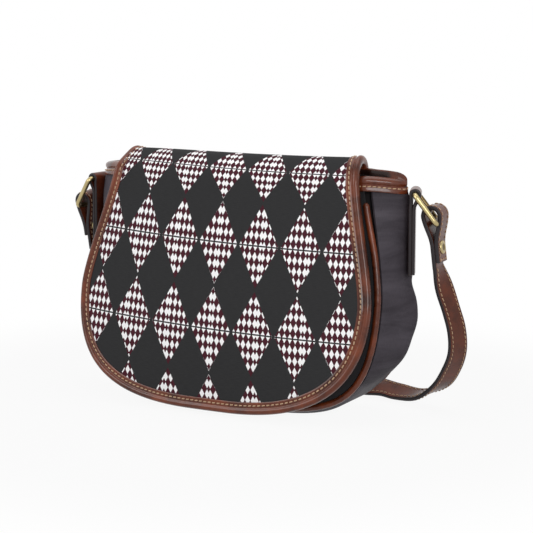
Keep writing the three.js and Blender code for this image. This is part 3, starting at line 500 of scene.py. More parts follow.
# Leather grain: soft mottling, pores from cell distances and soft ripples.
grain, grain_in = new_group(
    "leather_grain", {"Vector": "NodeSocketVector"}, ["Tone", "Height", "Roughness"]
)
pores = node(
    grain, "ShaderNodeTexVoronoi", {"Vector": grain_in["Vector"], "Scale": 900.0}, feature="SMOOTH_F1"
).outputs["Distance"]
mottle = noise(grain, grain_in["Vector"], scale=55.0, detail=4.0)
ripples = noise(grain, grain_in["Vector"], scale=190.0, detail=2.0, Distortion=0.6)
grain_height = maths(grain, "MULTIPLY_ADD", pores, 0.45, ripples)
grain_tone = maths(grain, "MULTIPLY_ADD", mottle, 2.2, -0.6)
grain_tone = maths(grain, "MULTIPLY_ADD", ripples, 0.5, maths(grain, "SUBTRACT", grain_tone, 0.25))
grain_rough = maths(grain, "MULTIPLY_ADD", mottle, 0.22, 0.17)
node(
    grain,
    "NodeGroupOutput",
    {
        "Tone": maths(grain, "MINIMUM", maths(grain, "MAXIMUM", grain_tone, 0.0), 1.0),
        "Height": grain_height,
        "Roughness": grain_rough,
    },
)


def leather(name, dark, light, along_strip=False, paint=None, coat=0.3):
    """Glossy leather: mottled brown, fine grain, and a dark colour where a piece marks it: real paint on
    cut edges, painted shade inside the mouth band.
    """
    material, tree, shader = new_material(
        name, Coat_Weight=coat, Coat_Roughness=0.1, Specular_IOR_Level=0.2
    )
    if along_strip:
        place = node(tree, "ShaderNodeUVMap").outputs[0]
    else:
        place = node(tree, "ShaderNodeTexCoord").outputs["Object"]
    skin = grouped(tree, grain, Vector=place)
    tint = blend_colours(tree, skin["Tone"], colour(dark), colour(light))
    rough = skin["Roughness"]
    if paint:
        # The marked colour is the edges' real paint, or painted shade where a piece marks its shadowed
        # inside.
        painted = node(tree, "ShaderNodeAttribute", attribute_name="paint").outputs["Fac"]
        tint = blend_colours(tree, painted, tint, colour(paint))
        rough = maths(tree, "MULTIPLY_ADD", painted, 0.25, rough)
    tree.links.new(tint, shader.inputs["Base Color"])
    tree.links.new(rough, shader.inputs["Roughness"])
    bumped(tree, shader, skin["Height"], GRAIN_DEPTH)
    return material


trim_leather = leather("trim_leather", LEATHER_DARK, LEATHER_LIGHT)


def circle(sides):
    """Unit circle of that many points."""
    angle = np.linspace(0, 2 * np.pi, sides, endpoint=False)
    return np.column_stack([np.cos(angle), np.sin(angle)])


def path_axes(path, across):
    """The direction across a path, made square to it, and the one square to both, at each point."""
    way = unit(np.gradient(path, axis=0))
    across = unit(across - np.sum(across * way, -1, keepdims=True) * way)
    return across, np.cross(way, across)


def sweep(path, across, section):
    """Rings of a section carried along a path: each section point goes its first number along the
    across direction and its second along the direction square to it and to the path. A section may
    be one (points, 2) or one for each path point."""
    across, face = path_axes(path, across)
    section = np.broadcast_to(section, (len(path), *section.shape[-2:]))
    return path[:, None] + section[..., :1] * across[:, None] + section[..., 1:] * face[:, None]


def piping(name, plane, lean, outward, cad_node):
    """A round cord along the outline, inside the wall's edge, closed bluntly at both ends."""
    line, normal = wall_outline(PIPING_INSET, 300)
    kept = line[:, 1] < PIPING_TOP_Z
    line, normal = line[kept], normal[kept]
    drawn = smooth(PIPING_DRAWN_FROM_Z, PIPING_TOP_Z, line[:, 1:])
    line = line - PIPING_DRAWN_IN * drawn * normal
    middle = -unit(np.array([0, outward, -outward * lean])) * WALL_THICKNESS / 2
    path = np.column_stack([line[:, 0], plane(line[:, 1]), line[:, 1]]) + middle
    along = lengths_along(path)
    to_end = np.minimum(along, along[-1] - along)
    radius = PIPING_RADIUS * lerp(PIPING_END_SHARE, 1, np.sqrt(smooth(0, PIPING_TAPER, to_end)))
    short, long = (np.sin(along * turns) for turns in PIPING_RIPPLE_TURNS)
    ripple = 1 + PIPING_RIPPLE * short * long
    across = np.column_stack([normal[:, 0], np.zeros(len(normal)), normal[:, 1]])
    rings = sweep(path, across, circle(16) * (radius * ripple)[:, None, None])
    return fit(solid_piece(name, rings, trim_leather), "bag", "brown_leather", cad_node)


piping("front_edge_piping", front_y, FRONT_LEAN, -1, "front_piping")
piping("back_edge_piping", back_y, BACK_LEAN, 1, "back_piping")

# The gusset is one strip of dark grey nylon between the walls. It swells out, folds into a fin at each
# end of the mouth and leans back there, and hangs a little below the walls as the flat base. Its slack
# makes soft creases and a fold along each side.
GUSSET_SEAM = 4.2
GUSSET_THICKNESS = 1.8
GUSSET_CLOTH_WIDTH = 60.0
NYLON = ("2d292e", "524d54")
NYLON_THREADS = 2300.0
GUSSET_SWELL = 12.9
GUSSET_WAIST = 3.6
FIN_SWELL = 11.6
FIN_SWEEP = 12.5
BASE_DROP = 3.5
BASE_FLATNESS = 2.2

# Heights over which each form of the gusset sets in or fades.
SWELL_RISE = (16.0, 62.0)
WAIST_RISE = (76.0, 107.0)
FIN_RISE = (104.0, 176.0)
FIN_ROUNDING = (110.0, 175.0)
SWEEP_RISE = (20.0, 80.0)
LEVEL_RISE = (60.0, 140.0)
BASE_FADE = (5.0, 26.0)
THINNING = 0.6
THINNING_RISE = (24.0, 58.0)
CREASE_RISE = (20.0, 50.0)
SIDE_FOLD_RISE = (35.0, 75.0)
SIDE_FOLD_FADE = (110.0, 150.0)

# Each crease is a strength and two sines, with their turns along the strip, turns across it and starts.
CREASE_DEPTH = 0.8
CREASES = [(1.0, (0.11, 5, 0), (0.047, -7, 1)), (0.6, (0.23, -11, 2), (0.031, 0, 3))]
SIDE_FOLD_DEPTH = 2.2
SIDE_FOLD_ACROSS = 0.5
SIDE_FOLD_WIDTH = 0.11
SIDE_FOLD_SLANT = 0.0025
SIDE_FOLD_Z = 95.0


def swell(z):
    """How far the gusset stands out at a height: a swell, a waist above it, then the fin."""
    waist = GUSSET_WAIST * smooth(*WAIST_RISE, z)
    return GUSSET_SWELL * smooth(*SWELL_RISE, z) - waist + FIN_SWELL * smooth(*FIN_RISE, z)


def ridge_lean(z):
    """How far the gusset's ridge leans back for each millimetre that it stands out."""
    return FIN_SWEEP * smooth(*SWEEP_RISE, z) / np.maximum(swell(z), 1)


def arch(v, z):
    """The swell across the gusset: a parabola low down, half an ellipse at the fin."""
    return np.maximum(1 - (2 * v - 1) ** 2, 0) ** (1 - 0.5 * smooth(*FIN_ROUNDING, z))


def gusset_surface(line, normal, v, depth):
    """The gusset's outside, or a face a depth below it, on a grid of outline points and places across:
    the seams' line moved out by the swell and the base's drop, with creases and a fold on the outside."""
    x, z = line[:, :1], line[:, 1:]
    nx, nz = normal[:, :1], normal[:, 1:]
    level = nz * (1 - smooth(*LEVEL_RISE, z))
    size = np.hypot(nx, level)
    low = front_y(z) + GUSSET_SEAM + depth / 2
    high = back_y(z) - GUSSET_SEAM - depth / 2
    drop = BASE_DROP * np.minimum(BASE_FLATNESS * arch(v, 0), 1) * (1 - smooth(*BASE_FADE, z))
    reach = (swell(z) - THINNING * depth * smooth(*THINNING_RISE, z)) * arch(v, z) + drop
    along = lengths_along(line)[:, None]
    lively = arch(v, 0) * smooth(*CREASE_RISE, z) * (depth == 0)
    wave = 0
    for strength, *sines in CREASES:
        first, second = (np.sin(turns * along + skew * v + start) for turns, skew, start in sines)
        wave = wave + strength * first * second
    crest = SIDE_FOLD_ACROSS + SIDE_FOLD_SLANT * (z - SIDE_FOLD_Z)
    fold = np.exp(-(((v - crest) / SIDE_FOLD_WIDTH) ** 2))
    fold = fold * smooth(*SIDE_FOLD_RISE, z) * (1 - smooth(*SIDE_FOLD_FADE, z))
    reach = reach + lively * (CREASE_DEPTH * wave + SIDE_FOLD_DEPTH * fold)
    y = lerp(low, high, v) + ridge_lean(z) * reach
    return np.stack(
        [x - nx * depth + nx / size * reach, y, z - nz * depth + level / size * reach], -1
    )


# The nylon's creases are bumps and also painted shade in its colour, between its dark and light tones.
grey_nylon = cloth(
    "grey_nylon", *NYLON, threads=NYLON_THREADS, roughness=0.6, sheen=0.05, creases=1.2
)
gusset_line, gusset_normal = wall_outline(0, 170)
gusset_across = (1 - np.cos(np.linspace(0, np.pi, 41)))[None, :] / 2
gusset_outer = gusset_surface(gusset_line, gusset_normal, gusset_across, 0)
gusset_inner = gusset_surface(gusset_line, gusset_normal, gusset_across, GUSSET_THICKNESS)
gusset_rings = np.concatenate([gusset_outer, gusset_inner[:, ::-1]], axis=1)
gusset_width = np.r_[gusset_across[0], gusset_across[0, ::-1], 0] * GUSSET_CLOTH_WIDTH * MM
gusset_uv = np.stack(
    np.meshgrid(lengths_along(gusset_line) * MM, gusset_width, indexing="ij"), axis=-1
)
gusset_strip = solid_piece("gusset_strip", gusset_rings, grey_nylon, uv=gusset_uv)
fit(gusset_strip, "bag", "grey_nylon", "gusset")

# The lining is a dark cloth bag that hangs inside, sewn to the inner side of the leather facing. At the
# mouth's right the slack back lip stands higher than the front one, and both ends of the mouth hang.
LINING_WALL = 0.9
LINING_FOOT = 8.6
LINING_TOP = 181.6
LINING_FRONT = 4.7
LINING_FLANK = 7.3
LINING_TIP = 8.4
LINING_TIP_WALL = 3.0
LINING_BEND = (30.0, 36.0)
LINING_STEP = 2.2
LINING = ("151314", "242122")
LOOP_POINTS = 240
FIN_POINTS = 61
WALL_POINTS = 80
OUTLINE_POINTS = 200
BASE_POINTS = 40
BACK_LIP_LIFT = 4.6
BACK_LIP_ACROSS = (0.5, 0.7)
BACK_LIP_LOSS = 0.5
BACK_LIP_FALL = (126.0, 146.0)
BACK_LIP_SIDE = (-80.0, 20.0)
FIN_DROP = 3.4
FIN_DROP_REACH = (108.0, 143.0)
LIPS_START = (140.0, 175.0)


def lip_rise(x, back):
    """How far the mouth's lips stand above their level, at a place across and a share of the way back."""
    lost = BACK_LIP_LOSS * smooth(*BACK_LIP_FALL, np.abs(x))
    lift = BACK_LIP_LIFT * smooth(*BACK_LIP_SIDE, x) * (1 - lost)
    return lift * smooth(*BACK_LIP_ACROSS, back) - FIN_DROP * smooth(*FIN_DROP_REACH, np.abs(x))


def level_ring(z, side, flank, tip):
    """A loop round the bag at a height, from the left fin's tip along the front, which hangs slack:
    side, flank and tip are how far in it runs along the walls, the fins' flanks and the fins' tips.
    Its fourth column says how far back each point lies, and near the mouth it follows the lips."""
    outline, _ = half_outline(WALL_FLAT, WALL_CORNER, WALL_SIDE, side, OUTLINE_POINTS)
    # The first points lie along the base, where a height doesn't tell the width.
    width = half_width(outline[BASE_POINTS:], z)
    v = (1 - np.cos(np.linspace(0, np.pi, FIN_POINTS))) / 2
    reach = np.maximum(swell(z) - tip, 0) * arch(v, z)
    fin_y = lerp(front_y(z) + flank, back_y(z) - flank, v) + ridge_lean(z) * reach
    fin = np.column_stack([width + reach, fin_y, np.full(len(v), z), v])
    share = np.linspace(-1, 1, WALL_POINTS)
    run = share * (width - GUSSET_SEAM - 1)
    front_z = z - lip_sag(share, z)
    front = np.column_stack([run, front_y(front_z) + side, front_z, 0 * run])
    back = np.column_stack([run[::-1], 0 * run + back_y(z) - side, 0 * run + z, 0 * run + 1])
    mirror = fin[::-1] * np.array([-1, 1, 1, 1])
    tip_point = FIN_POINTS // 2
    loop = np.concatenate([mirror[tip_point:], front, fin, back, mirror[: tip_point + 1]])
    loop = evenly(loop, LOOP_POINTS + 1)[:-1]
    loop = (np.roll(loop, 1, 0) + 2 * loop + np.roll(loop, -1, 0)) / 4
    loop[:, 2] += lip_rise(loop[:, 0], loop[:, 3]) * smooth(*LIPS_START, z)
    return loop[:, :3]


lining_cloth = cloth(
    "lining_cloth", *LINING, threads=CHARCOAL_THREADS, roughness=0.85, sheen=0.1
)
lining_levels = np.concatenate(
    [np.linspace(LINING_FOOT, LINING_BEND[0], 8), np.linspace(LINING_BEND[1], LINING_TOP, 30)]
)
lining_outer = [level_ring(z, LINING_FRONT, LINING_FLANK, LINING_TIP) for z in lining_levels]
lining_inner = [
    level_ring(
        max(z, LINING_FOOT + LINING_WALL),
        LINING_FRONT + LINING_WALL,
        LINING_FLANK + LINING_WALL,
        LINING_TIP + LINING_TIP_WALL,
    )
    for z in lining_levels[::-1]
]
lining_rings = np.stack(lining_outer + lining_inner)
lining_round = np.arange(LOOP_POINTS + 1) * LINING_STEP * MM
lining_up = np.concatenate([lining_levels, lining_levels[::-1]]) * MM
lining_uv = np.stack(np.meshgrid(lining_round, lining_up), axis=-1)
lining_bag = solid_piece("lining_bag", lining_rings, lining_cloth, uv=lining_uv)
fit(lining_bag, "bag", "lining_cloth", "lining")

# A band of glossy leather is folded over the cloth round the mouth, with a rolled top edge and one row
# of stitches through both legs. Its inner side is painted dark brown as the shade inside the mouth.
BAND_TOP = 186.8
BAND_HEIGHT = 11.0
BAND_LEATHER = 1.1
BAND_INSIDE_SHADE = "1e0d08"
BAND_COAT = 0.35
BAND_FLANK_INSETS = (2.7, 7.0)
BAND_TIP_INSETS = (0.0, 8.0)
BAND_STITCH = (-1.4, 179.6)
THREAD = ("8f6d50", "d8b690")
STITCH_PITCH = 3.9
STITCH_LENGTH = 2.9
THREAD_RADIUS = 0.5
FIBRE_DEPTH = 0.08
STITCH_TILT = 0.10
STITCH_LIFT = 0.6

# Each profile point is a depth in from the cloth's outside and a height. The flange lies just outside the
# cloth, and the rolled edge above it stands further out.
BAND_FLANGE, BAND_INNER = -1.4, 4.4
ROLL_MIDDLE, ROLL_ACROSS, ROLL_UP = 1.3, 3.1, 3.2
BAND_SHADE_DEPTHS = (2.6, 4.0)


def band_profile():
    """Section of the folded band: flange, rolled edge, inner leg, then back inside both legs."""
    low, middle = BAND_TOP - BAND_HEIGHT, BAND_TOP - ROLL_UP
    turn = np.linspace(1.25 * np.pi, 0, 17)
    rolled = np.column_stack([ROLL_MIDDLE + ROLL_ACROSS * np.cos(turn), middle + ROLL_UP * np.sin(turn)])
    hollow = ROLL_MIDDLE + (rolled[::-1] - ROLL_MIDDLE) * [0.7, 1] - [0, BAND_LEATHER]
    rise = np.array([0, 0.3, 1.2, 3.0, 4.6])
    flange = np.column_stack([BAND_FLANGE + np.array([0.5, 0.15, 0, 0, 0.25]), low + rise])
    inner_leg = np.column_stack([BAND_INNER - np.array([0, 0, 0.15, 0.5]), low + rise[3::-1]])
    inner_back = np.array([[BAND_INNER - BAND_LEATHER, low]])
    flange_back = np.array([[BAND_FLANGE + BAND_LEATHER, low]])
    return np.concatenate([flange, rolled, inner_leg, inner_back, hollow, flange_back])


def band_ring(depth, z):
    """Loop of the band's surface: in step with the depth it narrows along walls, flanks and tips."""
    share = (depth - BAND_FLANGE) / (BAND_INNER - BAND_FLANGE)
    flank = lerp(*BAND_FLANK_INSETS, share)
    tip = lerp(*BAND_TIP_INSETS, max(share, 0))
    return level_ring(z, depth, flank, tip)


def stitch_bodies(path, up, radius=THREAD_RADIUS):
    """Rings of a row of stitches: short threads along a path, each arched out of the surface along
    up, tilted a little across the row, and sunk into it at both ends."""
    along = lengths_along(path)
    count = int(along[-1] / STITCH_PITCH)
    middle = (np.arange(count) + 0.5) * along[-1] / count
    centre = at_lengths(path, middle)
    out = unit(at_lengths(path, middle, up))
    way = unit(at_lengths(path, middle + 1) - at_lengths(path, middle - 1))
    side = np.cross(out, way)
    way = unit(way + STITCH_TILT * side)
    side = np.cross(out, way)
    share = np.array([-1.0, -0.72, -0.3, 0.3, 0.72, 1.0])
    thick = radius * np.array([0.45, 0.9, 1.0, 1.0, 0.9, 0.45])
    run = share[:, None] * STITCH_LENGTH / 2
    lift = radius * (STITCH_LIFT - share[:, None] ** 4)
    spine = centre[:, None] + way[:, None] * run + out[:, None] * lift
    ring = circle(6)[None, None] * thick[None, :, None, None]
    return (
        spine[:, :, None]
        + ring[..., :1] * side[:, None, None]
        + ring[..., 1:] * out[:, None, None]
    )


thread, tree, shader = new_material("beige_thread", Roughness=0.6, Sheen_Weight=0.3)
thread_place = node(tree, "ShaderNodeTexCoord").outputs["Object"]
fibres = noise(tree, thread_place, scale=1500.0, detail=2.0)
tree.links.new(
    blend_colours(tree, fibres, *(colour(code) for code in THREAD)), shader.inputs["Base Color"]
)
bumped(tree, shader, fibres, FIBRE_DEPTH)

band_section = band_profile()
band_rings = np.stack([band_ring(depth, z) for depth, z in band_section])
# The band's inner side gets a dark brown as painted shade, for the shadow inside the mouth.
band_painted_shade = np.tile(smooth(*BAND_SHADE_DEPTHS, band_section[:, :1]), (1, LOOP_POINTS))
band_leather = leather("band_leather", LEATHER_DARK, LEATHER_LIGHT, paint=BAND_INSIDE_SHADE, coat=BAND_COAT)
mouth_facing = solid_piece(
    "mouth_facing", band_rings, band_leather, looped=True, marks={"paint": band_painted_shade}
)
fit(mouth_facing, "bag", "brown_leather", "mouth_band")
band_line = band_ring(*BAND_STITCH)
band_line = np.concatenate([band_line, band_line[:1]])
band_way = np.gradient(band_line, axis=0)
band_up = np.column_stack([band_way[:, 1], -band_way[:, 0], np.zeros(len(band_line))])
mouth_stitches = solid_piece("mouth_stitches", stitch_bodies(band_line, band_up), thread)
fit(mouth_stitches, "bag", "brown_leather")

# The flap is a stiffened panel of printed charcoal cloth, folded over the mouth and down the front,
# where it follows the padded wall's bow. A dark cloth lines its inside. The print is rows of tall
# diamonds filled with small lozenges, with a thin line through the middle of each row.
FLAP_CORNER = [(15, 4), (88, 4), (128.5, 27), (128.5, 88)]
FLAP_FLAT = 15.0
FLAP_STANDOFF = 5.6
FLAP_BACK_STANDOFF = 6.2
FLAP_BACK_HALF = 101.0
FOLD_SHOULDER_Z = 180.0
FOLD_BACK_Z = 176.0
FOLD_EDGE_RISES = (24.8, 28.6)
FOLD_MIDDLE_RISES = (25.2, 25.2)
FOLD_SLUMP = (6.0, 3.3)
SLUMP_RISE = (0.0, 0.35)
SLUMP_FADE = (0.35, 0.9)
FOLD_STEPS = 60
FLAP_COLUMNS = 91
FLAP_LEG = 2.5
FLAP_INSET = 1.4
PANEL_LAYER = (0.55, 2.35)
LINING_LAYER = (-1.55, -0.55)

# How the cloth is pulled over the bag: drawn in towards the top, eased round the fold, a little askew.
CLOTH_DRAWN_IN = 0.00048
CLOTH_DRIFT = 0.0003
CLOTH_DRIFT_FADE = (150.0, 200.0)
CLOTH_EASE = 16.5
CLOTH_EASE_REACH = (162.0, 216.0)
CLOTH_SLOPE = 0.0287
CLOTH_SHEAR = 0.0078

GROUND = ("2a2a2b", "383839")
WHITE_INK = ("f0eeef", "ffffff")
MAROON_INK = ("3d1822", "522831")
PRINT_AT = (2.2, 136.3)
DIAMOND_PITCH = (35.2, 67.0)
DIAMOND_HALF = (16.7, 32.2)
LOZENGE = (4.45, 8.25)
LOZENGE_MEET = 0.3
LOZENGE_TILE = 2 * LOZENGE[0] * (4 + LOZENGE_MEET)
WHITE_HALF = 0.45
LINE_HALF = 0.58


def flap_rows(inset):
    """Rows up the flap from its lower edge, over the fold, to its back leg. Each row has its place in
    the YZ plane, its way up and its length along the flap, at the edges and in the middle, half its
    width, half the width that its bow spans, and how far its left end slumps back and down."""
    outline, _ = half_outline(FLAP_FLAT, FLAP_CORNER, FLAP_SIDE, inset, OUTLINE_POINTS)
    front = outline[(outline[:, 0] > FLAP_FLAT - inset) & (outline[:, 1] < FOLD_SHOULDER_Z - 0.5)]
    z = np.append(front[:, 1], FOLD_SHOULDER_Z)
    bowed, growth = bow_at(z)
    edge = np.column_stack([pad_y(z) - FLAP_STANDOFF, z])
    middle = np.column_stack([edge[:, 0] - bowed, z])
    edge_way = unit(np.column_stack([np.full(len(z), PAD_LEAN), np.ones(len(z))]))
    middle_way = unit(np.column_stack([PAD_LEAN - growth, np.ones(len(z))]))
    back = np.array([back_y(FOLD_BACK_Z) + FLAP_BACK_STANDOFF, FOLD_BACK_Z])
    descent = unit(np.array([-BACK_LEAN, -1.0]))
    leg = back + np.linspace(0, FLAP_LEG, 4)[1:, None] * descent
    rows = {}
    for name, line, way, rises in (
        ("edge", edge, edge_way, FOLD_EDGE_RISES),
        ("middle", middle, middle_way, FOLD_MIDDLE_RISES),
    ):
        leaving, landing = line[-1] + rises[0] * way[-1], back - rises[1] * descent
        turn = evenly(bezier([line[-1], leaving, landing, back], 240), FOLD_STEPS + 1)
        over = unit(np.gradient(np.concatenate([turn, leg]), axis=0))
        rows[name] = np.concatenate([line, turn[1:], leg])
        rows[name + "_way"] = np.concatenate([way, over[1:]])
        along = lengths_along(rows[name])
        start = np.interp(BOW_MIDDLE_Z, z, along[: len(z)])
        rows[name + "_length"] = along - start + BOW_MIDDLE_Z * np.hypot(1, PAD_LEAN)
    folded = np.clip((np.arange(len(rows["edge"])) - len(front)) / FOLD_STEPS, 0, 1)
    half = lerp(FLAP_SIDE[-1][0], FLAP_BACK_HALF, folded) - inset
    half[: len(front)] = front[:, 0]
    span = lerp(FLAP_SIDE[-1][0], FLAP_BACK_HALF, folded)
    span[: len(z)] = bow_span(z)
    slump = smooth(*SLUMP_RISE, folded) * (1 - smooth(*SLUMP_FADE, folded))
    slump = slump[:, None] * np.array([FOLD_SLUMP[0], -FOLD_SLUMP[1]])
    return {**rows, "half": half, "span": span, "slump": slump}


def flap_surface(rows, x, lift):
    """Points of the flap a lift above its middle surface, with the ways across and along it, its
    normals and its lengths there. Each row runs from its edge to its middle by 1-(x/span)^2, and
    slumps back towards its left edge, by the cube of the distance across."""
    at = {key: value.reshape(len(value), 1, -1) for key, value in rows.items()}
    x = x[..., None]
    share = 1 - (x / at["span"]) ** 2
    place = lerp(at["edge"], at["middle"], share)
    place = place + at["slump"] * np.maximum(-x / at["span"], 0) ** 3
    slope = (at["middle"] - at["edge"]) * (-2 * x / at["span"] ** 2)
    across = unit(np.concatenate([np.ones_like(x), slope], -1))
    along = unit(np.concatenate([np.zeros_like(x), lerp(at["edge_way"], at["middle_way"], share)], -1))
    normal = unit(np.cross(across, along))
    length = lerp(at["edge_length"], at["middle_length"], share)[..., 0]
    return np.concatenate([x, place], -1) + lift * normal, across, along, normal, length


def cloth_place(points, length):
    """Where the flap's cloth lies on its flat pattern: distance across from the middle and up, drawn
    in, eased and pulled askew as it is worked over the bag."""
    steps = np.linalg.norm(np.diff(points, axis=1), axis=-1)
    across = np.concatenate([np.zeros((len(points), 1)), np.cumsum(steps, axis=1)], axis=1)
    across = across - across[:, [points.shape[1] // 2]]
    drift = CLOTH_DRIFT * across * (1 - smooth(*CLOTH_DRIFT_FADE, length))
    across = across * (1 + CLOTH_DRAWN_IN * (length - PRINT_AT[1]) + drift)
    up = length + CLOTH_EASE * smooth(*CLOTH_EASE_REACH, length)
    across = across + CLOTH_SHEAR * (up - PRINT_AT[1])
    return np.stack([across, up + CLOTH_SLOPE * across], -1)


def flap_layer(name, layer, material):
    """One layer of the flap: its outer face from left to right, then its inner face back."""
    rows = flap_rows(FLAP_INSET)
    x = rows["half"][:, None] * np.linspace(-1, 1, FLAP_COLUMNS)
    outer, _, _, _, length = flap_surface(rows, x, layer[1])
    inner = flap_surface(rows, x, layer[0])[0]
    rings = np.concatenate([outer, inner[:, ::-1]], axis=1)
    place = cloth_place(outer, length)
    uv = np.concatenate([place, place[:, ::-1], place[:, :1]], axis=1) * MM
    return solid_piece(name, rings, material, uv=uv)


printed_cloth, tree, shader = new_material(
    "printed_cloth", Roughness=0.8, Specular_IOR_Level=0.08
)
uv_place = node(tree, "ShaderNodeUVMap").outputs[0]
print_place = node(
    tree,
    "ShaderNodeMapping",
    {
        "Vector": uv_place,
        "Location": (-PRINT_AT[0], -PRINT_AT[1], 0),
        "Scale": (1 / MM, 1 / MM, 1),
    },
).outputs[0]
print_at = node(tree, "ShaderNodeSeparateXYZ", {0: print_place}).outputs
half_pitch = [pitch / 2 for pitch in DIAMOND_PITCH]
local_x = maths(tree, "ABSOLUTE", maths(tree, "WRAP", print_at[0], half_pitch[0], -half_pitch[0]))
tile_x = maths(tree, "ABSOLUTE", maths(tree, "WRAP", print_at[0], LOZENGE_TILE / 2, -LOZENGE_TILE / 2))
local_y = maths(tree, "WRAP", print_at[1], half_pitch[1], -half_pitch[1])
height = maths(tree, "ABSOLUTE", local_y)
diamond_reach = maths(
    tree, "MULTIPLY_ADD", local_x, 1 / DIAMOND_HALF[0], maths(tree, "DIVIDE", height, DIAMOND_HALF[1])
)
in_diamond = maths(tree, "LESS_THAN", diamond_reach, 1.0)
off_line = maths(tree, "GREATER_THAN", height, LINE_HALF)
lozenge_x = maths(tree, "MULTIPLY_ADD", tile_x, 1 / LOZENGE[0], -LOZENGE_MEET)
lozenge_y = maths(tree, "DIVIDE", local_y, LOZENGE[1])
rising = maths(tree, "ADD", lozenge_x, lozenge_y)
falling = maths(tree, "SUBTRACT", lozenge_x, lozenge_y)
cell = [maths(tree, "ROUND", slant) for slant in (rising, falling)]
even = maths(tree, "COMPARE", maths(tree, "PINGPONG", maths(tree, "ADD", *cell), 1.0), 0.0, 0.5)
from_cell = [
    maths(tree, "ABSOLUTE", maths(tree, "SUBTRACT", slant, middle))
    for slant, middle in zip((rising, falling), cell)
]
slim = maths(tree, "LESS_THAN", maths(tree, "MAXIMUM", *from_cell), WHITE_HALF)
white = maths(tree, "MULTIPLY", even, slim)
printed = maths(tree, "MULTIPLY", in_diamond, off_line)
woven = grouped(tree, weave, Vector=uv_place, Threads=CHARCOAL_THREADS)
ground, white_ink, maroon_ink = (
    blend_colours(tree, woven["Shade"], colour(dark), colour(light))
    for dark, light in (GROUND, WHITE_INK, MAROON_INK)
)
ink = blend_colours(tree, white, maroon_ink, white_ink)
tree.links.new(blend_colours(tree, printed, ground, ink), shader.inputs["Base Color"])
bumped(tree, shader, woven["Height"], WEAVE_DEPTH)

flap_face = flap_layer("flap_face", PANEL_LAYER, printed_cloth)
flap_inside = flap_layer("flap_inside", LINING_LAYER, lining_cloth)
fit(flap_face, "flap", "printed_cloth", "flap_panel")
fit(flap_inside, "flap", "lining_cloth", "flap_lining")

# A leather binding is folded round the flap's sides and lower edge: a flat flange with one row of
# stitches on the face, a rolled bead at the edge, and a narrower leg inside. Its section's points are
# distances out from the flap's edge and above the flap's middle surface.
BINDING_FLANGE = [(-10.0, 2.45), (-10.0, 2.85), (-9.5, 3.15), (-8.2, 3.2), (-6.9, 3.1), (-6.1, 2.75)]
BINDING_BEAD = [
    *[(-5.6, 2.55), (-5.1, 2.7), (-4.5, 3.3), (-3.6, 3.85), (-2.6, 3.95), (-1.5, 3.65)],
    *[(-0.6, 2.9), (0.0, 1.7), (0.15, 0.4), (0.05, -1.2), (-0.6, -2.4), (-1.7, -2.95)],
]
BINDING_LEG = [(-4.0, -2.95), (-6.2, -2.9), (-6.5, -2.5), (-6.5, -1.85), (-4.0, -1.8), (-1.3, -1.75)]
BINDING_INSIDE = [(-1.15, 0.0), (-1.3, 2.4), (-4.5, 2.45), (-7.0, 2.45)]
BINDING_STITCH = (-7.4, 3.05)
BINDING_FRONT_TOP_Z = FOLD_SHOULDER_Z - 2


def edge_side(side):
    """The flap's edge on one side, from the middle of its lower edge up and over the fold: points, the
    direction outwards in the flap's surface and the surface's normals."""
    line, out = half_outline(FLAP_FLAT, FLAP_CORNER, FLAP_SIDE, 0, OUTLINE_POINTS)
    low = line[:, 1] < BINDING_FRONT_TOP_Z
    rows = flap_rows(0)
    up = rows["edge"][:, 1]
    shoulder = np.argmax(up > BINDING_FRONT_TOP_Z) + 1
    front_rows = {}
    for key, value in rows.items():
        columns = [
            np.interp(line[low, 1], up[:shoulder], column)
            for column in value.reshape(len(value), -1)[:shoulder].T
        ]
        front_rows[key] = np.stack(columns, -1).reshape(low.sum(), *value.shape[1:])
    fold_rows = {key: value[shoulder:] for key, value in rows.items()}
    front, across, along, normal, _ = flap_surface(front_rows, side * line[low, :1], 0.0)
    front_out = unit(side * out[low, None, :1] * across + out[low, None, 1:] * along)
    edge, edge_across, _, edge_normal, _ = flap_surface(fold_rows, side * fold_rows["half"][:, None], 0.0)
    return [
        np.concatenate([front[:, 0], edge[:, 0]]),
        np.concatenate([front_out[:, 0], side * edge_across[:, 0]]),
        np.concatenate([normal[:, 0], edge_normal[:, 0]]),
    ]


edge_at, edge_out, edge_normal = (
    np.concatenate([right[::-1], left[1:]]) for right, left in zip(edge_side(1), edge_side(-1))
)
binding_section = np.array(BINDING_FLANGE + BINDING_BEAD + BINDING_LEG + BINDING_INSIDE)
binding_rings = (
    edge_at[:, None]
    + binding_section[None, :, :1] * edge_out[:, None]
    + binding_section[None, :, 1:] * edge_normal[:, None]
)
flap_edge = solid_piece("flap_edge", binding_rings, trim_leather)
fit(flap_edge, "flap", "brown_leather", "flap_binding")
seam = edge_at + BINDING_STITCH[0] * edge_out + BINDING_STITCH[1] * edge_normal
flap_stitches = solid_piece("flap_stitches", stitch_bodies(seam, edge_normal), thread)
fit(flap_stitches, "flap", "brown_leather")

# The flap is sewn to the back wall by a flat strip of the same cloth. Above its seam a short free
# stretch stands out from the wall.
ANCHOR_LOW_Z = 140.0
ANCHOR_TOP_Z = 164.0
HINGE_LOW_Z = 164.3
HINGE_TOP_Z = 173.2
HINGE_STAND = 5.2
HINGE_BEND = (HINGE_LOW_Z - 1, HINGE_TOP_Z + 0.5)
STRIP_HALF = 97.0
ANCHOR_NEAR, ANCHOR_FAR = 0.4, 2.4
ANCHOR_MARGIN = 4.0


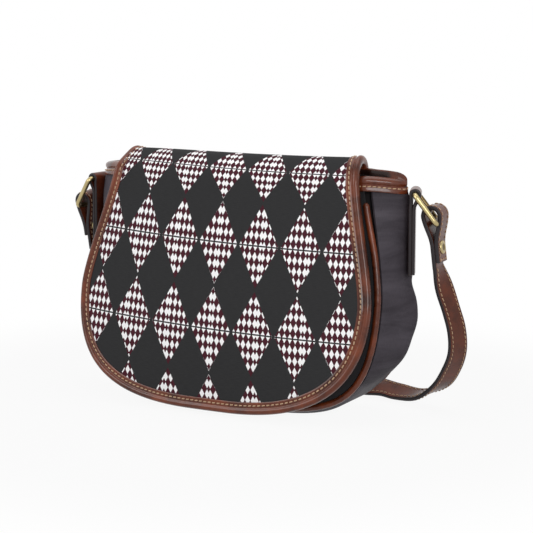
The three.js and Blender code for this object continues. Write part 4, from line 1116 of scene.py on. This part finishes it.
def back_strip(name, z, near, far):
    """A strip across the back between two distances from the back wall's plane at each height: the
    outer face, two points down one end, the inner face back, and two points up the other end."""
    x = np.linspace(-STRIP_HALF, STRIP_HALF, 61)
    x, level = np.meshgrid(x, z)
    outer, inner = (
        np.stack([x, back_y(level) + np.reshape(stand, (-1, 1)), level], -1) for stand in (far, near)
    )
    thirds = np.array([0.35, 0.65])[:, None]
    end = lerp(outer[:, -1:], inner[:, -1:], thirds)
    start = lerp(inner[:, :1], outer[:, :1], thirds)
    rings = np.concatenate([outer, end, inner[:, ::-1], start], axis=1)
    return solid_piece(name, rings, charcoal_cloth, uv=front_uv(rings))


anchor_z = np.linspace(ANCHOR_LOW_Z, ANCHOR_TOP_Z, 13)
anchor_strip = back_strip("anchor_strip", anchor_z, ANCHOR_NEAR, ANCHOR_FAR)
fit(anchor_strip, "bag", "charcoal_cloth", "flap_anchor")
hinge_z = np.linspace(HINGE_LOW_Z, HINGE_TOP_Z, 19)
hinge_stand = HINGE_STAND * smooth(*HINGE_BEND, hinge_z)
hinge_cloth = back_strip("hinge_cloth", hinge_z, ANCHOR_NEAR + hinge_stand, ANCHOR_FAR + hinge_stand)
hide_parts("flap_hinge_fold")
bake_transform(hinge_cloth)
anchor_corners = np.array([(-1, 1), (-1, 0), (1, 0), (1, 1)])
anchor_x = anchor_corners[:, 0] * (STRIP_HALF - ANCHOR_MARGIN)
anchor_height = lerp(ANCHOR_LOW_Z + ANCHOR_MARGIN, ANCHOR_TOP_Z - ANCHOR_MARGIN, anchor_corners[:, 1])
anchor_seam = np.column_stack([anchor_x, back_y(anchor_height) + ANCHOR_FAR, anchor_height])
anchor_up = np.tile([0.0, 1.0, -BACK_LEAN], (4, 1))
anchor_stitches = solid_piece("anchor_stitches", stitch_bodies(anchor_seam, anchor_up), thread)
fit(anchor_stitches, "bag", "charcoal_cloth")

# A magnetic snap of pressed brass holds the flap down: the socket on the front wall, the stud inside
# the flap. Their steel plates lie behind the cloth.
SNAP_Z = 46.0
BRASS = ("66563a", "c2b283")
STEEL = ("6d6d6c", "a9a9a6")
PATINA_DEPTH = 0.002
AXIS_RADIUS = 0.05

# Profiles are radii and heights above the front wall: base, rim and face, then down into the middle.
SOCKET_RIM = [(8.6, 0.3), (9.0, 0.55), (9.0, 1.3), (8.7, 1.85), (8.0, 2.1)]
SOCKET_WELL = [(4.0, 2.1), (3.4, 1.95), (3.2, 1.6), (3.2, 1.0), (3.0, 0.9)]
SOCKET_PROFILE = [(AXIS_RADIUS, 0.3), *SOCKET_RIM, *SOCKET_WELL, (AXIS_RADIUS, 0.9)]
STUD_PEG = [(2.4, 1.3), (2.8, 1.6), (2.8, 2.3), (3.0, 2.4)]
STUD_RIM = [(7.6, 2.4), (8.0, 2.7), (8.0, 3.2), (7.8, 3.4)]
STUD_PROFILE = [(AXIS_RADIUS, 1.3), *STUD_PEG, *STUD_RIM, (AXIS_RADIUS, 3.4)]


def lathed(profile, sides=48):
    """Rings of radius and height pairs turned about the local Z axis, from one pole to the other."""
    profile = np.array(profile)
    round_ = circle(sides)
    flat = profile[:, None, :1] * round_[None]
    return np.concatenate([flat, np.broadcast_to(profile[:, None, 1:], (*flat.shape[:2], 1))], -1)


# Patina: cloudy wear that lightens and roughens the metal in patches.
patina, patina_in = new_group("patina", {"Vector": "NodeSocketVector"}, ["Wear", "Roughness"])
clouds = noise(patina, patina_in["Vector"], scale=60.0, detail=1.0)
cloudy_rough = maths(patina, "MULTIPLY_ADD", clouds, 0.12, 0.26)
node(patina, "NodeGroupOutput", {"Wear": clouds, "Roughness": cloudy_rough})


def metal(name, dark, light):
    """Polished metal with a thin uneven patina that lightens it in patches, and painted shade that darkens
    the places a piece marks.
    """
    material, tree, shader = new_material(name, Metallic=1.0)
    worn = grouped(tree, patina, Vector=node(tree, "ShaderNodeTexCoord").outputs["Object"])
    # Marked places are painted dark as shade: the wire's inner side and the rivets' dimpled middles.
    hollow = node(tree, "ShaderNodeAttribute", attribute_name="hollow").outputs["Fac"]
    wear_and_shade = maths(tree, "MULTIPLY_ADD", worn["Wear"], 0.4, 0.6)
    wear_and_shade = maths(tree, "MULTIPLY", wear_and_shade, maths(tree, "SUBTRACT", 1.0, hollow))
    tint = blend_colours(tree, wear_and_shade, colour(dark), colour(light))
    tree.links.new(tint, shader.inputs["Base Color"])
    tree.links.new(worn["Roughness"], shader.inputs["Roughness"])
    bumped(tree, shader, worn["Wear"], PATINA_DEPTH)
    return material


brass = metal("pale_brass", *BRASS)
steel = metal("plate_steel", *STEEL)


def refinish(cad_node, material):
    """A CAD solid that is shown as it is, in another material."""
    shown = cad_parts[cad_node].data.materials
    shown.clear()
    shown.append(material)


snap_bow, snap_growth = bow_at(SNAP_Z)
snap_slope = PAD_LEAN - snap_growth
snap_out = unit(np.array([0, -1.0, snap_slope]))
snap_up = np.cross(snap_out, [1.0, 0, 0])
snap_axes = np.array([[1.0, 0, 0], snap_up, snap_out])
snap_place = np.array([0, pad_y(SNAP_Z) - snap_bow, SNAP_Z])
for snap_name, snap_profile, snap_body in (
    ("snap_socket", SOCKET_PROFILE, "bag"),
    ("snap_stud", STUD_PROFILE, "flap"),
):
    snap_rings = lathed(snap_profile) @ snap_axes + snap_place
    snap_half = solid_piece(snap_name + "_turned", snap_rings, brass, crease=35)
    fit(snap_half, snap_body, "brass", snap_name)
for plate in ("snap_socket_plate", "snap_stud_plate"):
    refinish(plate, steel)

# On each fin sits a tab of doubled leather, its cut edges painted dark, sewn down the gusset's ridge.
# Its top loops round the upper bar of a rectangular ring of pale brass wire.
TAB_WIDTH = 20.0
TAB_THICKNESS = 2.5
TAB_LENGTH = 62.0
TAB_LEG_STEP = 1.0
TAB_TAPER = 12.0
STRAP_DARK = "3e1c10"
STRAP_LIGHT = "6e3520"
EDGE_PAINT = "2b2628"
STRAP_COAT = 0.08
RING_BORE = 2.1
RING_WIRE = 2.05
RING_WIDTH = 27.0
RING_LENGTH = 27.0
RING_CORNER = 3.4
# How far round the wire's section the painted shade on its inner side reaches.
WIRE_SHADE = (0.35, -0.5)

# at is the middle of the ring's upper bar, turn the way that the tab faces and hang how far the ring
# swings out. The strap end is twisted, leans and is skewed by angles of its own. slack and lift place
# its loop from the ring's lower bar, and rivet and tail are lengths down from the loop.
SIDES = {
    "right": {
        "at": (143, 19.5, 173.7),
        "turn": 22,
        "hang": 37,
        "twist": -18,
        "lean": 7,
        "skew": 0,
        "slack": -1.5,
        "lift": 5.2,
        "rivet": 24.5,
        "tail": 35.5,
    },
    "left": {
        "at": (-142.2, 19.5, 169.7),
        "turn": 172,
        "hang": 31,
        "twist": 0,
        "lean": -3,
        "skew": -7,
        "slack": -1.5,
        "lift": 3.5,
        "rivet": 21.5,
        "tail": 28.5,
    },
}


def turned(points, x=0.0, y=0.0, z=0.0):
    """Points turned about X, then Y, then Z, by angles in degrees."""
    for axis, angle in enumerate((x, y, z)):
        c, s = np.cos(np.radians(angle)), np.sin(np.radians(angle))
        i, j = (axis + 1) % 3, (axis + 2) % 3
        matrix = np.eye(3)
        matrix[i, i], matrix[i, j], matrix[j, i], matrix[j, j] = c, -s, s, c
        points = points @ matrix.T
    return points


def folded_line(bore, thickness, taper, seat, inner, outer):
    """Middle line of a strip folded round a bar, in the local XZ plane: up the inner leg, round the
    bar on an arc, and down the outer leg, with curves that bring both legs together at the taper."""
    radius = bore + thickness / 2
    dip = 0.15
    angle = np.linspace(np.pi + dip, -dip, 40)
    arc = radius * np.column_stack([np.cos(angle), np.sin(angle)])
    legs = []
    for side, tip, length in ((-1, arc[0], inner), (1, arc[-1], outer)):
        low = np.array([seat + side * thickness / 2, -taper])
        reach = 0.4 * (taper - radius * np.sin(dip))
        leaving = np.array([-side * np.sin(dip), -np.cos(dip)])
        curve = bezier([tip, tip + reach * leaving, low + np.array([0, reach]), low], 30)
        end = np.array([low[0], -length])
        legs.append(np.concatenate([curve[1:], np.linspace(low, end, 20)[1:]]))
    line = np.concatenate([legs[0][::-1], arc, legs[1]])
    line = evenly(line, 150)
    return np.column_stack([line[:, 0], np.zeros(len(line)), line[:, 1]])


def strip_section(width, thickness, edge=0.8, crown=0.12):
    """Section of a leather strip: slightly crowned faces and round painted edges. Returns the points
    and 1 for those on the cut edges, 0 on the faces."""
    turn = np.linspace(-np.pi / 2, np.pi / 2, 9)
    side = np.column_stack([width / 2 - edge + edge * np.cos(turn), thickness / 2 * np.sin(turn)])
    run = np.linspace(width / 2 - edge, -width / 2 + edge, 14)[1:-1]
    top = np.column_stack([run, thickness / 2 + crown * (1 - (2 * run / width) ** 2)])
    right_half = np.concatenate([side, top])
    section = np.concatenate([right_half, -right_half])
    edged = np.abs(section[:, 0]) > width / 2 - edge + 0.01
    return section, edged.astype(float)


def strip_piece(name, path, across, width, thickness, material, cut=(0, -1)):
    """A leather strip along a path, with its edges and cut ends marked and a UV map in metres."""
    section, edged = strip_section(width, thickness)
    rings = sweep(path, across, section)
    along = lengths_along(path) * MM
    round_ = lengths_along(np.concatenate([section, section[:1]])) * MM
    uv = np.stack(np.meshgrid(along, round_, indexing="ij"), axis=-1)
    marks = np.tile(edged, (len(path), 1))
    marks[list(cut)] = 1
    return solid_piece(name, rings, material, uv=uv, marks={"paint": marks})


def side_world(side, points):
    """From the tab's own frame, with the ring's upper bar along Y, to the bag's frame."""
    return turned(points, z=SIDES[side]["turn"]) + np.array(SIDES[side]["at"])


def bent_wire(width, length, corner, radius, steps, sides):
    """Rings of a round wire bent to a rounded rectangle: its upper bar lies on the local Y axis, and it
    hangs down. Marks its inner side with 1, which is painted dark as shade, and its outer side with 0."""
    angle = (np.radians([0, 90, 180, 270])[:, None] + np.linspace(0, np.pi / 2, steps)).ravel()
    out = np.column_stack([0 * angle, np.cos(angle), np.sin(angle)])
    corner_y = np.repeat([1, -1, -1, 1], steps) * (width / 2 - corner)
    corner_z = np.repeat([-corner] * 2 + [corner - length] * 2, steps)
    line = np.column_stack([0 * angle, corner_y, corner_z]) + corner * out
    section = circle(sides)[None]
    rings = line[:, None] + radius * (
        section[..., :1] * out[:, None] + section[..., 1:] * np.array([1.0, 0, 0])
    )
    return rings, np.tile(smooth(*WIRE_SHADE, circle(sides)[:, 0]), (len(line), 1))


strap_leather = leather(
    "strap_leather", STRAP_DARK, STRAP_LIGHT, along_strip=True, paint=EDGE_PAINT, coat=STRAP_COAT
)
tab_path = folded_line(
    RING_BORE, TAB_THICKNESS, TAB_TAPER, -RING_BORE, TAB_LENGTH, TAB_LENGTH - TAB_LEG_STEP
)
# The wire's inner side is marked for painted shade.
ring_wire, ring_shade = bent_wire(
    RING_WIDTH, RING_LENGTH, RING_CORNER, RING_WIRE, steps=10, sides=14
)
for side, rest in SIDES.items():
    path = side_world(side, tab_path)
    across = side_world(side, np.array([0.0, 1.0, 0.0])) - np.array(rest["at"])
    tab = strip_piece(side + "_folded_tab", path, across, TAB_WIDTH, TAB_THICKNESS, strap_leather)
    fit(tab, "bag", "brown_leather", side + "_tab")
    hung_wire = side_world(side, turned(ring_wire, y=-rest["hang"]))
    ring = solid_piece(
        side + "_wire_ring", hung_wire, brass, looped=True, marks={"hollow": ring_shade}
    )
    fit(ring, side + "_ring", "brass", side + "_ring")

# Each end of the strap is folded round the ring's lower bar and closed by a brass rivet with hollow
# heads through both layers. The tail's end is cut square and sewn across.
STRAP_WIDTH = 18.0
STRAP_THICKNESS = 3.2
LOOP_BORE = 5.0
LOOP_TAPER = 24.0
END_LENGTH = 40.0
RIVET_SHANK = 1.6
RIVET_SIDES = 32
RIVET_SHADE_RADII = (2.9, 2.3)
RIVET_HEAD = [
    *[(RIVET_SHANK, 3.3), (5.2, 3.4), (5.2, 3.9), (4.6, 4.5)],
    *[(3.6, 4.8), (2.6, 4.55), (2.2, 4.2), (AXIS_RADIUS, 4.15)],
]
RIVET_PROFILE = [(radius, -height) for radius, height in RIVET_HEAD[::-1]] + RIVET_HEAD
EDGE_STITCH = 2.6
STRAP_THREAD = 0.36
STITCH_STAND = 0.08

# The row across the tail lies at this point of the fold's path, counted from its cut end.
TAIL_ROW = -4
TAIL_POINTS = 8


def hanging_world(side, points):
    """From the hanging strap end's own frame to the bag's frame."""
    rest = SIDES[side]
    swing = np.radians(rest["hang"])
    place = np.array(
        [RING_LENGTH * np.sin(swing) + rest["slack"], 0, rest["lift"] - RING_LENGTH * np.cos(swing)]
    )
    return side_world(side, turned(points, x=rest["skew"], y=-rest["lean"], z=rest["twist"]) + place)


def edge_rows(path, across, out):
    """The two lines of stitches on one face of a strap, each a little in from an edge."""
    to_edge = STRAP_WIDTH / 2 - EDGE_STITCH
    to_face = STRAP_THICKNESS / 2 + STITCH_STAND
    return [path + edge * to_edge * across + to_face * out for edge in (-1, 1)]


for side, rest in SIDES.items():
    end_path = folded_line(LOOP_BORE, STRAP_THICKNESS, LOOP_TAPER, 0.0, END_LENGTH, rest["tail"])
    end_way = unit(np.gradient(end_path, axis=0))
    end_out = np.column_stack([-end_way[:, 2], np.zeros(len(end_way)), end_way[:, 0]])
    origin = hanging_world(side, np.zeros((1, 3)))
    path = hanging_world(side, end_path)
    across = hanging_world(side, np.array([[0.0, 1.0, 0.0]])) - origin
    end = strip_piece(
        side + "_folded_end", path, across, STRAP_WIDTH, STRAP_THICKNESS, strap_leather, cut=[-1]
    )
    fit(end, side + "_ring", "brown_leather", side + "_strap_end")
    outward = hanging_world(side, end_out) - origin
    rows = edge_rows(path, across, outward)
    rows.append(np.linspace(rows[0][TAIL_ROW], rows[1][TAIL_ROW], TAIL_POINTS))
    ups = [outward, outward, np.tile(outward[TAIL_ROW], (TAIL_POINTS, 1))]
    sewn = np.concatenate([stitch_bodies(row, up, STRAP_THREAD) for row, up in zip(rows, ups)])
    end_stitches = solid_piece(side + "_end_stitches", sewn, thread)
    fit(end_stitches, side + "_ring", "brown_leather")
    rivet_rings = lathed(RIVET_PROFILE, RIVET_SIDES)[..., [2, 1, 0]] * np.array([1, 1, -1])
    rivet_rings = hanging_world(side, rivet_rings + np.array([0, 0, -rest["rivet"]]))
    # The dimpled middle of each head is painted dark as shade.
    rivet_painted_shade = smooth(*RIVET_SHADE_RADII, np.array(RIVET_PROFILE)[:, :1])
    rivet = solid_piece(
        side + "_domed_rivet",
        rivet_rings,
        brass,
        crease=60,
        marks={"hollow": np.tile(rivet_painted_shade, (1, RIVET_SIDES))},
    )
    fit(rivet, side + "_ring", "brass", side + "_rivet")

# The strap is one long and one short leather strip, joined by a buckle. It hangs from the rings, turns
# on to its edge behind the bag and lies there in loose curves. Two rows of stitches run along it.
# Each hanging point has the direction across the strap there. Where the strap lies it stands on its
# edge, so that direction is straight up.
LONG_HANGING = [
    ((164.4, 27.2, 102), (0.36, 0.93, 0.03)),
    ((169.2, 30, 85), (0.34, 0.94, 0.08)),
    ((172.2, 34, 68.9), (0.38, 0.92, 0.12)),
    ((170.9, 39.5, 51), (0.42, 0.9, 0)),
    ((163.6, 45.7, 34.6), (0.45, 0.88, -0.12)),
    ((151.6, 52.4, 19), (0.35, 0.93, -0.12)),
    ((131.8, 57.6, 8.6), (-0.12, 0.96, 0.16)),
    ((112.2, 62, 7.6), (-0.3, 0.87, 0.4)),
    ((97.2, 64.5, 8.8), (-0.25, 0.84, 0.48)),
    ((78, 65, 9.6), (-0.1, 0.5, 0.86)),
    ((50, 63.6, 9.7), (0, 0.1, 1)),
]
LONG_LYING = [
    *[(15, 63, 9.6), (-25, 63, 9.6), (-60, 63, 9.6), (-85, 63.6, 9.6), (-108, 73, 9.6), (-118, 96, 9.6)],
    *[(-108, 119, 9.6), (-85, 128.4, 9.6), (-60, 129, 9.6), (-30, 129, 9.6), (-5, 129.6, 9.6)],
    *[(18, 139, 9.6), (28, 162, 9.6), (18.5, 184, 9.8), (-3, 192, 11), (-20, 191.2, 13.2)],
    *[(-34.5, 190.3, 14), (-42, 193.2, 14), (-49, 198.2, 14), (-56, 200.6, 14), (-68, 200.4, 14)],
    *[(-82, 199.4, 14), (-97, 199, 14)],
]
SHORT_HANGING = [
    ((-146.3, 27.4, 96), (0.14, 0.98, 0.13)),
    ((-146.8, 32.5, 78), (0.25, 0.94, 0.22)),
    ((-148.8, 41, 58), (0.45, 0.83, 0.3)),
    ((-151, 53, 40), (0.66, 0.6, 0.42)),
    ((-152.5, 68, 24.5), (0.68, 0.35, 0.64)),
    ((-153, 86, 14.2), (0.5, 0.14, 0.85)),
    ((-153, 105, 10.4), (0.25, 0.05, 0.97)),
    ((-151, 125, 9.8), (0.05, 0, 1)),
]
SHORT_LYING = [(-144, 150, 9.8), (-131, 172, 9.8), (-113, 187, 11), (-98, 192.2, 13.2), (-86.4, 192.8, 14)]
STRAP_LAP = 1.2
STRAP_START = (-STRAP_THICKNESS / 2, 0.0, STRAP_LAP - END_LENGTH)
STRAP_STEP = 2.5
ROUTE_STEPS = 24


def through(points, knots, steps):
    """Curve through points by the Catmull-Rom rule on given knots: each stretch between two points
    blends the three lines through its neighbours."""
    p = np.concatenate([[2 * points[0] - points[1]], points, [2 * points[-1] - points[-2]]])
    p0, p1, p2, p3 = (p[i : len(p) - 3 + i, None] for i in range(4))
    k0, k1, k2, k3 = (knots[i : len(p) - 3 + i, None, None] for i in range(4))
    k = k1 + np.linspace(0, 1, steps, endpoint=False)[None, :, None] * (k2 - k1)
    a1 = (k1 - k) / (k1 - k0) * p0 + (k - k0) / (k1 - k0) * p1
    a2 = (k2 - k) / (k2 - k1) * p1 + (k - k1) / (k2 - k1) * p2
    a3 = (k3 - k) / (k3 - k2) * p2 + (k - k2) / (k3 - k2) * p3
    b1 = (k2 - k) / (k2 - k0) * a1 + (k - k0) / (k2 - k0) * a2
    b2 = (k3 - k) / (k3 - k1) * a2 + (k - k1) / (k3 - k1) * a3
    line = (k2 - k) / (k2 - k1) * b1 + (k - k1) / (k2 - k1) * b2
    return np.concatenate([line.reshape(-1, points.shape[1]), points[-1:]])


def strap_line(side, hanging, lying):
    """Even points along a strap's route, from where its folded end stops, and the direction across the
    strap at each. The folded end's direction is turned to the same side as the route's."""
    route = hanging + [(point, (0, 0, 1)) for point in lying]
    start = hanging_world(side, np.array(STRAP_START) + np.array([[0, 0, 0], [0, 1.0, 0]]))
    points = np.array([start[0]] + [point for point, _ in route], float)
    across = np.array([start[1] - start[0]] + [way for _, way in route], float)
    across[0] *= np.sign(across[0] @ across[1])
    ends = np.concatenate([[2 * points[0] - points[1]], points, [2 * points[-1] - points[-2]]])
    knots = np.concatenate([[0], np.cumsum(np.sqrt(np.linalg.norm(np.diff(ends, axis=0), axis=1)))])
    line, ways = (through(values, knots, ROUTE_STEPS) for values in (points, across))
    lengths = np.linspace(0, lengths_along(line)[-1], int(lengths_along(line)[-1] / STRAP_STEP))
    return at_lengths(line, lengths), unit(at_lengths(line, lengths, ways))


def strap_pieces(name, side, hanging, lying):
    """A strap and its stitches, fixed along the whole route."""
    path, across = strap_line(side, hanging, lying)
    strap = strip_piece(name, path, across, STRAP_WIDTH, STRAP_THICKNESS, strap_leather, cut=[-1])
    across, face = path_axes(path, across)
    rows = [
        stitch_bodies(row, out, STRAP_THREAD)
        for out in (-face, face)
        for row in edge_rows(path, across, out)
    ]
    sewn = solid_piece(name + "_stitches", np.concatenate(rows), thread)
    for piece in (strap, sewn):
        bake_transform(piece)
    return strap, sewn, path


long_strap, long_stitches, long_path = strap_pieces(
    "long_strap", "right", LONG_HANGING, LONG_LYING
)
short_strap, short_stitches, short_path = strap_pieces(
    "short_strap", "left", SHORT_HANGING, SHORT_LYING
)
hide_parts("strap_long")
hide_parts("strap_short")

# The buckle that joins the two straps: a brass frame on a leather fold of the short strap, with a
# prong through a hole of the long strap and a leather loop that keeps its tail.
BUCKLE_AT = np.array([-45.0, 194.0, 14.0])
BUCKLE_LENGTH = 21.0
BUCKLE_WIDTH = 24.0
BUCKLE_WIRE = 1.6
BUCKLE_CORNER = 4.0
BUCKLE_FOLD_THICKNESS = 2.4
BUCKLE_FOLD_BORE = 1.9
BUCKLE_FOLD_TAPER = 9.0
BUCKLE_FOLD_LEGS = (30.0, 26.0)
KEEPER_AT = (-76.0, 196.7, 14.0)
KEEPER_HALF = (6.2, 10.3)
KEEPER_WIDTH = 8.0
KEEPER_THICKNESS = 1.4
KEEPER_EDGE = 0.5
KEEPER_SQUARENESS = 10


def buckle_world(points):
    """From the buckle's own frame, with its heel bar along Y, to the bag's frame."""
    axes = np.array([[0.0, 1, 0], [0, 0, -1], [-1, 0, 0]])
    return points @ axes + BUCKLE_AT - np.array([BUCKLE_LENGTH / 2, 0, 0])


frame_wire, frame_shade = bent_wire(
    BUCKLE_WIDTH, BUCKLE_LENGTH, BUCKLE_CORNER, BUCKLE_WIRE, steps=8, sides=12
)
buckle_wire = solid_piece(
    "buckle_wire", buckle_world(frame_wire), brass, looped=True, marks={"hollow": frame_shade}
)
fit(buckle_wire, "bag", "brass", "buckle_frame")
fold_path = folded_line(
    BUCKLE_FOLD_BORE, BUCKLE_FOLD_THICKNESS, BUCKLE_FOLD_TAPER, 0.0, *BUCKLE_FOLD_LEGS
) * np.array([1, 1, -1])
fold_across = buckle_world(np.array([0.0, 1.0, 0.0])) - buckle_world(np.zeros(3))
buckle_leather = strip_piece(
    "buckle_leather",
    buckle_world(fold_path),
    fold_across,
    STRAP_WIDTH,
    BUCKLE_FOLD_THICKNESS,
    strap_leather,
)
fit(buckle_leather, "bag", "brown_leather", "buckle_fold")
refinish("buckle_prong", brass)

# The keeper's loop is a circle drawn out towards a rectangle: x^n + y^n = 1, with n its squareness.
keeper_round = circle(64)
keeper_reach = np.sum(np.abs(keeper_round) ** KEEPER_SQUARENESS, axis=1) ** (-1 / KEEPER_SQUARENESS)
keeper_loop_at = keeper_reach[:, None] * keeper_round * np.array(KEEPER_HALF)
keeper_path = np.column_stack([np.zeros(len(keeper_round)), keeper_loop_at]) + np.array(KEEPER_AT)
keeper_section, keeper_edged = strip_section(KEEPER_WIDTH, KEEPER_THICKNESS, edge=KEEPER_EDGE)
keeper_closed = np.concatenate([keeper_path[-2:], keeper_path, keeper_path[:2]])
keeper_rings = sweep(keeper_closed, np.array([1.0, 0, 0]), keeper_section)[2:-2]
keeper_loop = solid_piece(
    "keeper_loop",
    keeper_rings,
    leather("keeper_leather", STRAP_DARK, STRAP_LIGHT, paint=EDGE_PAINT, coat=STRAP_COAT),
    looped=True,
    marks={"paint": np.tile(keeper_edged, (len(keeper_rings), 1))},
)
fit(keeper_loop, "bag", "brown_leather", "strap_keeper")
